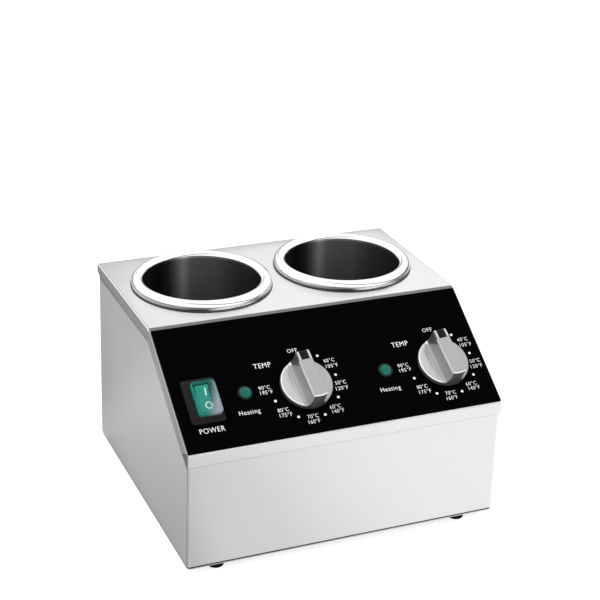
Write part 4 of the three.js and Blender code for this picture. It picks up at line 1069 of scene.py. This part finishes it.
def makeLamps():
    l = lampSize
    top = l["seat"] + l["high"]
    film, mouth = panel["film"], l["lens"] + l["play"]
    ring = [(0, -l["long"]), (l["barrel"], -l["long"]), (l["barrel"], l["lap"]), (l["barrel"], film),
            (l["radius"], film)]
    ring += arc((l["radius"] - l["round"], top - l["round"]), l["round"], 0, 90, 6)
    ring += [(mouth + l["break"], top), (mouth, top - l["break"]), (mouth, l["lensSeat"]), (0, l["lensSeat"])]
    domeFoot = top - l["sunk"]
    dome = [(0, l["lensSeat"] + l["play"]), (l["lens"], l["lensSeat"] + l["play"]), (l["lens"], domeFoot)]
    dome += arc((0, domeFoot), l["lens"], 6, 84, 14, l["dome"])
    dome += [(0, domeFoot + l["dome"])]
    for name, number in sides:
        spot = panelSpot(lamp["across"][number], lamp["up"])
        bezel = turnProfile("lampBezel" + name.capitalize(), ring, 72)
        settle(bezel, spot, 34)
        handOver(bezel, "body", frameBlack, "black_plastic", "lamp_body_" + name)
        lens = turnProfile("lampDome" + name.capitalize(), dome, 72)
        settle(lens, spot, 50)
        handOver(lens, "body", lensGreen, "green_lens", "lamp_lens_" + name)


makeLamps()
print("lamps fitted")


# Printed legend on the control face

printSize = {"thick": 0.06, "bold": -0.008, "spread": 1.12, "dot": 1.2, "dotEdge": 0.08, "secondSet": 134.9}
# Words, place across and up from the foot of the slope, width
labels = (("40°C", 2.2, 69.4, 10.6), ("105°F", 3.3, 63.7, 11.5), ("50°C", 5.6, 45.8, 10.5),
          ("120°F", 5.1, 40.2, 11.6), ("60°C", -7.2, 23.5, 10.5), ("140°F", -6.0, 18.8, 11.1),
          ("70°C", -30.4, 17.8, 10.2), ("160°F", -30.8, 12.6, 10.7), ("80°C", -55.0, 28.4, 10.2),
          ("175°F", -54.0, 23.2, 11.8), ("90°C", -65.2, 52.6, 10.5), ("195°F", -64.6, 47.7, 11.5),
          ("OFF", -28.4, 84.7, 9.7), ("TEMP", -60.3, 74.4, 16.2), ("Heating", -85.2, 31.6, 19.4))
powerLabel = ("POWER", -122.6, 20.6, 22.8)
wordHeights = {"TEMP": 4.9, "POWER": 4.9, "Heating": 4.2}
dots = ((-6.8, 75.6), (3.6, 54.1), (-1.3, 31.8), (-18.9, 17.2), (-43.5, 19.2), (-59.2, 37.9))


def printWord(words, across, up, width):
    tall = wordHeights.get(words, 3.8)
    deselectAll()
    bpy.ops.object.text_add()
    ink = bpy.context.object
    ink.data.body = words
    ink.data.size = 1
    ink.data.offset = printSize["bold"]
    ink.data.space_character = printSize["spread"]
    ink.data.resolution_u = 4
    bpy.ops.object.convert(target="MESH")
    ink = bpy.context.object
    xs = [v.co.x for v in ink.data.vertices]
    ys = [v.co.y for v in ink.data.vertices if v.co.y > -0.01]
    openMesh(ink)
    bpy.ops.mesh.remove_doubles(threshold=0.0005)
    bpy.ops.mesh.extrude_region_move(TRANSFORM_OT_translate={"value": (0, 0, 1)})
    bpy.ops.mesh.select_all(action="SELECT")
    bpy.ops.mesh.normals_make_consistent(inside=False)
    closeMesh()
    grow = (width / (max(xs) - min(xs)), tall / max(ys), printSize["thick"])
    shift = Matrix.Translation((across - width / 2 - min(xs) * grow[0], up - tall / 2, panel["film"]))
    ink.data.transform(shift @ Matrix.Diagonal((*grow, 1)))
    return ink


def printDot(across, up):
    film = panel["film"]
    dot = addRound("scaleDot", printSize["dot"], film, film + printSize["thick"], 40, (across, up))
    openMesh(dot)
    pick("FACE", lambda f: f.normal.z > 0.9)
    bpy.ops.mesh.inset(thickness=printSize["dotEdge"], depth=0)
    closeMesh()
    return dot


def printPanel():
    for name, number in sides:
        shift = number * printSize["secondSet"]
        marks = [printWord(words, across + shift, up, width) for words, across, up, width in labels]
        marks += [printDot(across + shift, up) for across, up in dots]
        if number == 0:
            marks.append(printWord(*powerLabel))
        legend = joinPieces("legend" + name.capitalize(), marks)
        settle(legend, panelSpot(0, 0), 30)
        handOver(legend, "body", inkWhiteGlow, "gloss_black_print")


printPanel()
print("legend printed")


# Fasteners, feet and cord gland

screwSize = {"head": 3.4, "high": 2, "shank": 1.6, "long": 8, "point": 0.7, "pointLong": 0.8, "brim": 0.3,
             "cross": 0.8, "crossLong": 3.8, "crossDeep": 1.3, "fine": 0.08, "turn": (20, 35)}
footSize = {"top": 8.4, "base": 7.4, "round": 1, "bore": 2.4, "counter": 4.6, "deep": 4, "break": 0.4,
            "draft": (0.15, 1.2), "head": 3.8, "headHigh": 2.4, "shank": 1.9, "long": 9.6, "turn": (15, 40)}
glandSize = {"hex": 11, "hexHigh": 4.5, "hexSoft": 0.5, "foot": 4, "neck": 10.2, "dome": 7.2, "domeRound": 3,
             "high": 15.5, "grips": 12, "gripWide": 0.5, "gripFrom": (9.8, 5.2), "gripTo": (12, 11.5),
             "thread": 8, "threadDeep": 9, "lap": 0.2, "bore": 4.2, "soft": 0.25}


def makeScrewBlank(head, high, shank, long):
    s = screwSize
    profile = [(0, -long), (shank * s["point"], -long), (shank, -long + s["pointLong"]), (shank, 0), (head, 0)]
    profile += arc((0, s["brim"]), head, 4, 86, 8, high - s["brim"])
    profile += [(0, high)]
    blank = turnProfile("screwBlank", profile, 40)
    wide, reach = s["cross"] * head / s["head"] / 2, s["crossLong"] * head / s["head"] / 2
    for x, y in ((wide, reach), (reach, wide)):
        cutAway(blank, addBlock("crossTool", (-x, -y, high - s["crossDeep"]), (x, y, high + s["crossDeep"])))
    softenEdges(blank, s["fine"], 2, 55)
    return blank


def seatCopies(blank, names, spots, finish, slot):
    for name, spot in zip(names, spots):
        piece = copyPiece(blank, name.replace("_", " ").title().replace(" ", "") + "Dressed")
        settle(piece, spot, 34)
        handOver(piece, "body", finish, slot, name)
    bpy.data.objects.remove(blank)


def boxMiddle(node):
    low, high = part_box(node)
    return (Vector(low) + Vector(high)) / 2, Vector(low), Vector(high)


def makeRearScrews():
    s = screwSize
    names = ["rear_screw_%d" % n for n in (1, 2, 3, 4)]
    spots = []
    for i, name in enumerate(names):
        centre, _, high = boxMiddle(name)
        out = high.y - s["high"] * mm
        turn = Matrix.Rotation(math.radians(s["turn"][0] + s["turn"][1] * i), 4, "Z")
        spots.append(Matrix.Translation((centre.x, out, centre.z)) @ Matrix.Scale(mm, 4)
                     @ Matrix.Rotation(-math.pi / 2, 4, "X") @ turn)
    blank = makeScrewBlank(s["head"], s["high"], s["shank"], s["long"])
    seatCopies(blank, names, spots, zincPlate, "plated_steel")


def makeFeet():
    f = footSize
    names = [end + "_" + side for end in ("front", "rear") for side in ("left", "right")]
    high = body["floor"]
    profile = [(f["bore"], high), (f["top"], high), (f["top"] - f["draft"][0], high - f["draft"][1])]
    profile += arc((f["base"] - f["round"], f["round"]), f["round"], 0, -90, 6)
    profile += [(f["counter"] + f["break"], 0), (f["counter"], f["break"]), (f["counter"], f["deep"]),
                (f["bore"], f["deep"]), (f["bore"], high)]
    foot = turnProfile("footBlank", profile, 64)
    feetSpots, screwSpots = [], []
    for i, name in enumerate(names):
        centre = boxMiddle("foot_" + name)[0]
        feetSpots.append(Matrix.Translation((centre.x, centre.y, 0)) @ Matrix.Scale(mm, 4))
        centre, low, _ = boxMiddle("foot_screw_" + name)
        turn = Matrix.Rotation(math.radians(f["turn"][0] + f["turn"][1] * i), 4, "Z")
        seat = Matrix.Translation((centre.x, centre.y, low.z + f["headHigh"] * mm))
        screwSpots.append(seat @ Matrix.Scale(mm, 4) @ Matrix.Rotation(math.pi, 4, "X") @ turn)
    seatCopies(foot, ["foot_" + name for name in names], feetSpots, footRubber, "rubber")
    blank = makeScrewBlank(f["head"], f["headHigh"], f["shank"], f["long"])
    seatCopies(blank, ["foot_screw_" + name for name in names], screwSpots, zincPlate, "plated_steel")


def makeGland():
    g = glandSize
    deselectAll()
    bpy.ops.mesh.primitive_cylinder_add(vertices=6, radius=g["hex"] / math.cos(math.pi / 6), depth=g["hexHigh"],
                                        location=(0, 0, g["hexHigh"] / 2), rotation=(0, 0, math.pi / 6))
    gland = bpy.context.object
    gland.name = "cordGland"
    bpy.ops.object.transform_apply(location=True, rotation=True, scale=True)
    softenEdges(gland, g["hexSoft"], 3, 50)
    shoulder = g["high"] - g["domeRound"]
    profile = [(0, g["foot"]), (g["neck"], g["foot"]), (g["neck"], g["gripTo"][1] - g["gripWide"])]
    profile += arc((g["dome"], shoulder), g["domeRound"], 0, 90, 8)[1:] + [(0, g["high"])]
    cap = turnProfile("glandCap", profile, 64)
    for number in range(g["grips"]):
        groove = addBlock("grip", (-g["gripWide"], *g["gripFrom"]), (g["gripWide"], *g["gripTo"]))
        turn = number * 2 * math.pi / g["grips"]
        openMesh(groove)
        bpy.ops.transform.rotate(value=turn, orient_axis="Z", center_override=(0, 0, 0))
        closeMesh()
        cutAway(cap, groove)
    thread = turnProfile("glandThread", [(0, -g["threadDeep"]), (g["thread"], -g["threadDeep"]),
                                         (g["thread"], g["lap"]), (0, g["lap"])], 48)
    fuse(gland, cap, thread)
    cutAway(gland, addRound("glandBore", g["bore"], -12, 20, 48))
    softenEdges(gland, g["soft"], 2, 50)
    centre, _, high = boxMiddle("cable_gland")
    spot = (Matrix.Translation((centre.x, high.y - g["high"] * mm, centre.z)) @ Matrix.Scale(mm, 4)
            @ Matrix.Rotation(-math.pi / 2, 4, "X"))
    settle(gland, spot, 34)
    handOver(gland, "body", glandBlack, "black_plastic", "cable_gland")


makeRearScrews()
makeFeet()
makeGland()
print("feet, screws and gland seated")


# Floor, light and camera

# Shiny pieces mirror this air and floor. Its patterns are (place, grey) steps:
# around by bearing in half turns, rise by height, byAcross by x, gap by closeness to gapAxis, below and far
# by distance from the case, floorShine by x, sideShine along a line that leans back on the left. In mirrors the
# floor glows with painted light, and below paints the case's shadow under it
air = {"fill": 0.62, "power": 1.22,
       "around": ((-1.0, 0.82), (-0.75, 0.74), (-0.65, 0.85), (-0.5, 0.55), (-0.35, 0.35), (-0.2, 0.25),
                  (-0.12, 0.15), (-0.08, 0.015), (0.04, 0.015), (0.08, 0.35), (0.25, 0.8), (0.4, 0.95),
                  (0.52, 0.8), (0.6, 0.06), (0.75, 0.06), (0.84, 0.66), (1.0, 0.82)),
       "rise": ((0.04, 0), (0.12, 0.45), (0.2, 0.8), (0.3, 1)), "byAcross": ((0.0, 0.9), (0.22, 0.9), (0.44, 1)),
       "gapAxis": (-0.434, 0.417, 0.799), "gap": ((0.43, 0), (0.5, 0.92), (0.56, 0.92), (0.63, 0)),
       "gapAside": ((-0.35, 0), (-0.1, 1)), "reach": 9.0, "floorGrey": 0.8, "floorRough": 0.9,
       "floorShine": ((-0.35, 0.5), (-0.245, 0.54), (-0.2, 0.46), (-0.165, 0.42), (-0.11, 0.7), (-0.05, 0.73),
                      (0.0, 0.82), (0.05, 0.9), (0.1, 0.95), (0.3, 0.99)),
       "floorPower": 1.375, "floorLift": 0.7, "below": ((-0.02, 0.04), (-0.002, 0.06), (0.006, 1)),
       "far": ((0.9, 1), (1.6, 0.08)), "lean": (-0.15, 0.9),
       "sideShine": ((-0.22, 0.8), (-0.1, 0.9), (-0.02, 1), (0.03, 0.96), (0.07, 0.74), (0.15, 0.74))}
# Place, width and power
softboxes = {"leftBox": ((-1.6, -0.5, 1.9), 1.4, 26), "frontBox": ((0.9, -2.1, 1.3), 1.2, 16)}
lightTarget = (0, 0, 0.1)


def fromCamera(ahead, aside, up):
    s, c = math.sin(shot["turn"]), math.cos(shot["turn"])
    return Vector((ahead * s + aside * c, aside * s - ahead * c, up))


def nodeTools(nodes, links):
    def work(operation, *values):
        return calculate(nodes, links, operation, *values)

    def ramp(source, low, high, steps):
        return greyRamp(nodes, links, source, low, high, steps)

    return work, ramp


def chooseByRay(nodes, links, plain, mirrored, straight, surface):
    path = nodes.new("ShaderNodeLightPath")
    shiny = calculate(nodes, links, "MAXIMUM", path.outputs["Is Glossy Ray"], path.outputs["Is Transmission Ray"])
    for weight, shader in ((shiny, mirrored), (path.outputs["Is Camera Ray"], straight)):
        mix = nodes.new("ShaderNodeMixShader")
        links.new(weight, mix.inputs["Fac"])
        links.new(plain, mix.inputs[1])
        links.new(shader, mix.inputs[2])
        plain = mix.outputs["Shader"]
    links.new(plain, surface)


def makeWorld():
    world = bpy.data.worlds.new("studioAir")
    bpy.context.scene.world = world
    world.use_nodes = True
    nodes, links = world.node_tree.nodes, world.node_tree.links
    nodes.clear()
    work, ramp = nodeTools(nodes, links)
    way = nodes.new("ShaderNodeTexCoord").outputs["Generated"]
    split = nodes.new("ShaderNodeSeparateXYZ")
    links.new(way, split.inputs["Vector"])
    ahead, aside, toGap = [dotWith(nodes, links, way, fromCamera(*axis))
                           for axis in ((1, 0, 0), (0, 1, 0), air["gapAxis"])]
    bearing = work("DIVIDE", work("ARCTAN2", aside, ahead), math.pi)
    low = ramp(bearing, -1.0, 1.0, air["around"])
    stillLow = work("SUBTRACT", 1.0, ramp(split.outputs["Z"], -1.0, 1.0, air["rise"]))
    sky = work("MULTIPLY_ADD", stillLow, work("SUBTRACT", low, 1.0), 1.0)
    gap = work("MULTIPLY", ramp(aside, -1.0, 1.0, air["gapAside"]), ramp(toGap, -1.0, 1.0, air["gap"]))
    sky = work("MULTIPLY", sky, work("SUBTRACT", 1.0, gap))
    sky = work("MULTIPLY", sky, ramp(split.outputs["X"], 0.0, 1.0, air["byAcross"]))
    plain, mirror, white = [nodes.new("ShaderNodeBackground") for _ in range(3)]
    for node, grey in ((plain, air["fill"]), (mirror, 1), (white, 1)):
        node.inputs["Color"].default_value = (grey, grey, grey, 1)
    links.new(work("MULTIPLY", sky, air["power"]), mirror.inputs["Strength"])
    out = nodes.new("ShaderNodeOutputWorld")
    chooseByRay(nodes, links, *[node.outputs["Background"] for node in (plain, mirror, white)],
                out.inputs["Surface"])


def floorFinish():
    material = bpy.data.materials.new("paleFloor")
    material.use_nodes = True
    nodes, links = material.node_tree.nodes, material.node_tree.links
    work, ramp = nodeTools(nodes, links)
    shader = nodes["Principled BSDF"]
    shader.inputs["Base Color"].default_value = (*[air["floorGrey"]] * 3, 1)
    shader.inputs["Roughness"].default_value = air["floorRough"]
    shader.inputs["Specular IOR Level"].default_value = 0.0
    split = nodes.new("ShaderNodeSeparateXYZ")
    links.new(nodes.new("ShaderNodeTexCoord").outputs["Object"], split.inputs["Vector"])
    x, y = split.outputs["X"], split.outputs["Y"]
    outX = work("SUBTRACT", work("ABSOLUTE", x), body["half"] * mm)
    fromMiddle = work("SUBTRACT", y, (body["front"] + body["rear"]) / 2 * mm)
    outY = work("SUBTRACT", work("ABSOLUTE", fromMiddle), (body["rear"] - body["front"]) / 2 * mm)
    outside = work("MAXIMUM", outX, outY)
    leaning = work("MULTIPLY_ADD", work("MINIMUM", x, air["lean"][0]), air["lean"][1], y)
    # Painted shadow under the case, fading far off, and painted light by x and along the leaning line, seen only
    # in mirrors
    shade = work("MULTIPLY", ramp(outside, -0.1, 0.1, air["below"]), ramp(outside, 0.0, 2.0, air["far"]))
    shade = work("MULTIPLY", shade, ramp(leaning, -0.5, 0.5, air["sideShine"]))
    glow, lift = [nodes.new("ShaderNodeEmission") for _ in range(2)]
    links.new(ramp(x, -0.4, 0.4, air["floorShine"]), glow.inputs["Color"])
    links.new(work("MULTIPLY", shade, air["floorPower"]), glow.inputs["Strength"])
    lift.inputs["Strength"].default_value = air["floorLift"]
    both = nodes.new("ShaderNodeAddShader")
    links.new(shader.outputs["BSDF"], both.inputs[0])
    links.new(lift.outputs["Emission"], both.inputs[1])
    chooseByRay(nodes, links, shader.outputs["BSDF"], glow.outputs["Emission"], both.outputs["Shader"],
                nodes["Material Output"].inputs["Surface"])
    return material


def makeFloor():
    deselectAll()
    bpy.ops.mesh.primitive_circle_add(vertices=96, radius=air["reach"], fill_type="NGON")
    floor = bpy.context.object
    floor.name = "studioFloor"
    floor.data.materials.append(floorFinish())


def addSoftbox(name, place, width, power):
    light = bpy.data.lights.new(name, "AREA")
    light.shape = "SQUARE"
    light.size = width
    light.energy = power
    holder = bpy.data.objects.new(name, light)
    bpy.context.collection.objects.link(holder)
    holder.visible_glossy = False
    holder.location = place
    holder.rotation_euler = (Vector(lightTarget) - Vector(place)).to_track_quat("-Z", "Y").to_euler()


def makeCamera():
    s = shot
    back = Vector((math.sin(s["turn"]) * math.cos(s["climb"]), -math.cos(s["turn"]) * math.cos(s["climb"]),
                   math.sin(s["climb"])))
    right = Vector((math.cos(s["turn"]), math.sin(s["turn"]), 0))
    up = back.cross(right)
    tiltedRight = right * math.cos(s["roll"]) + up * math.sin(s["roll"])
    tiltedUp = up * math.cos(s["roll"]) - right * math.sin(s["roll"])
    data = bpy.data.cameras.new("photoCamera")
    data.sensor_width = 36
    data.lens = s["lens"]
    data.shift_x, data.shift_y = s["shift"]
    data.clip_start, data.clip_end = 0.05, 60
    camera = bpy.data.objects.new("photoCamera", data)
    bpy.context.collection.objects.link(camera)
    spot = Matrix((tiltedRight, tiltedUp, back)).transposed().to_4x4()
    spot.translation = Vector(s["target"]) + back * s["away"]
    camera.matrix_world = spot
    bpy.context.scene.camera = camera


bpy.context.scene.view_settings.view_transform = "Standard"
makeWorld()
makeFloor()
for name, (place, width, power) in softboxes.items():
    addSoftbox(name, place, width, power)
makeCamera()
print("studio set")
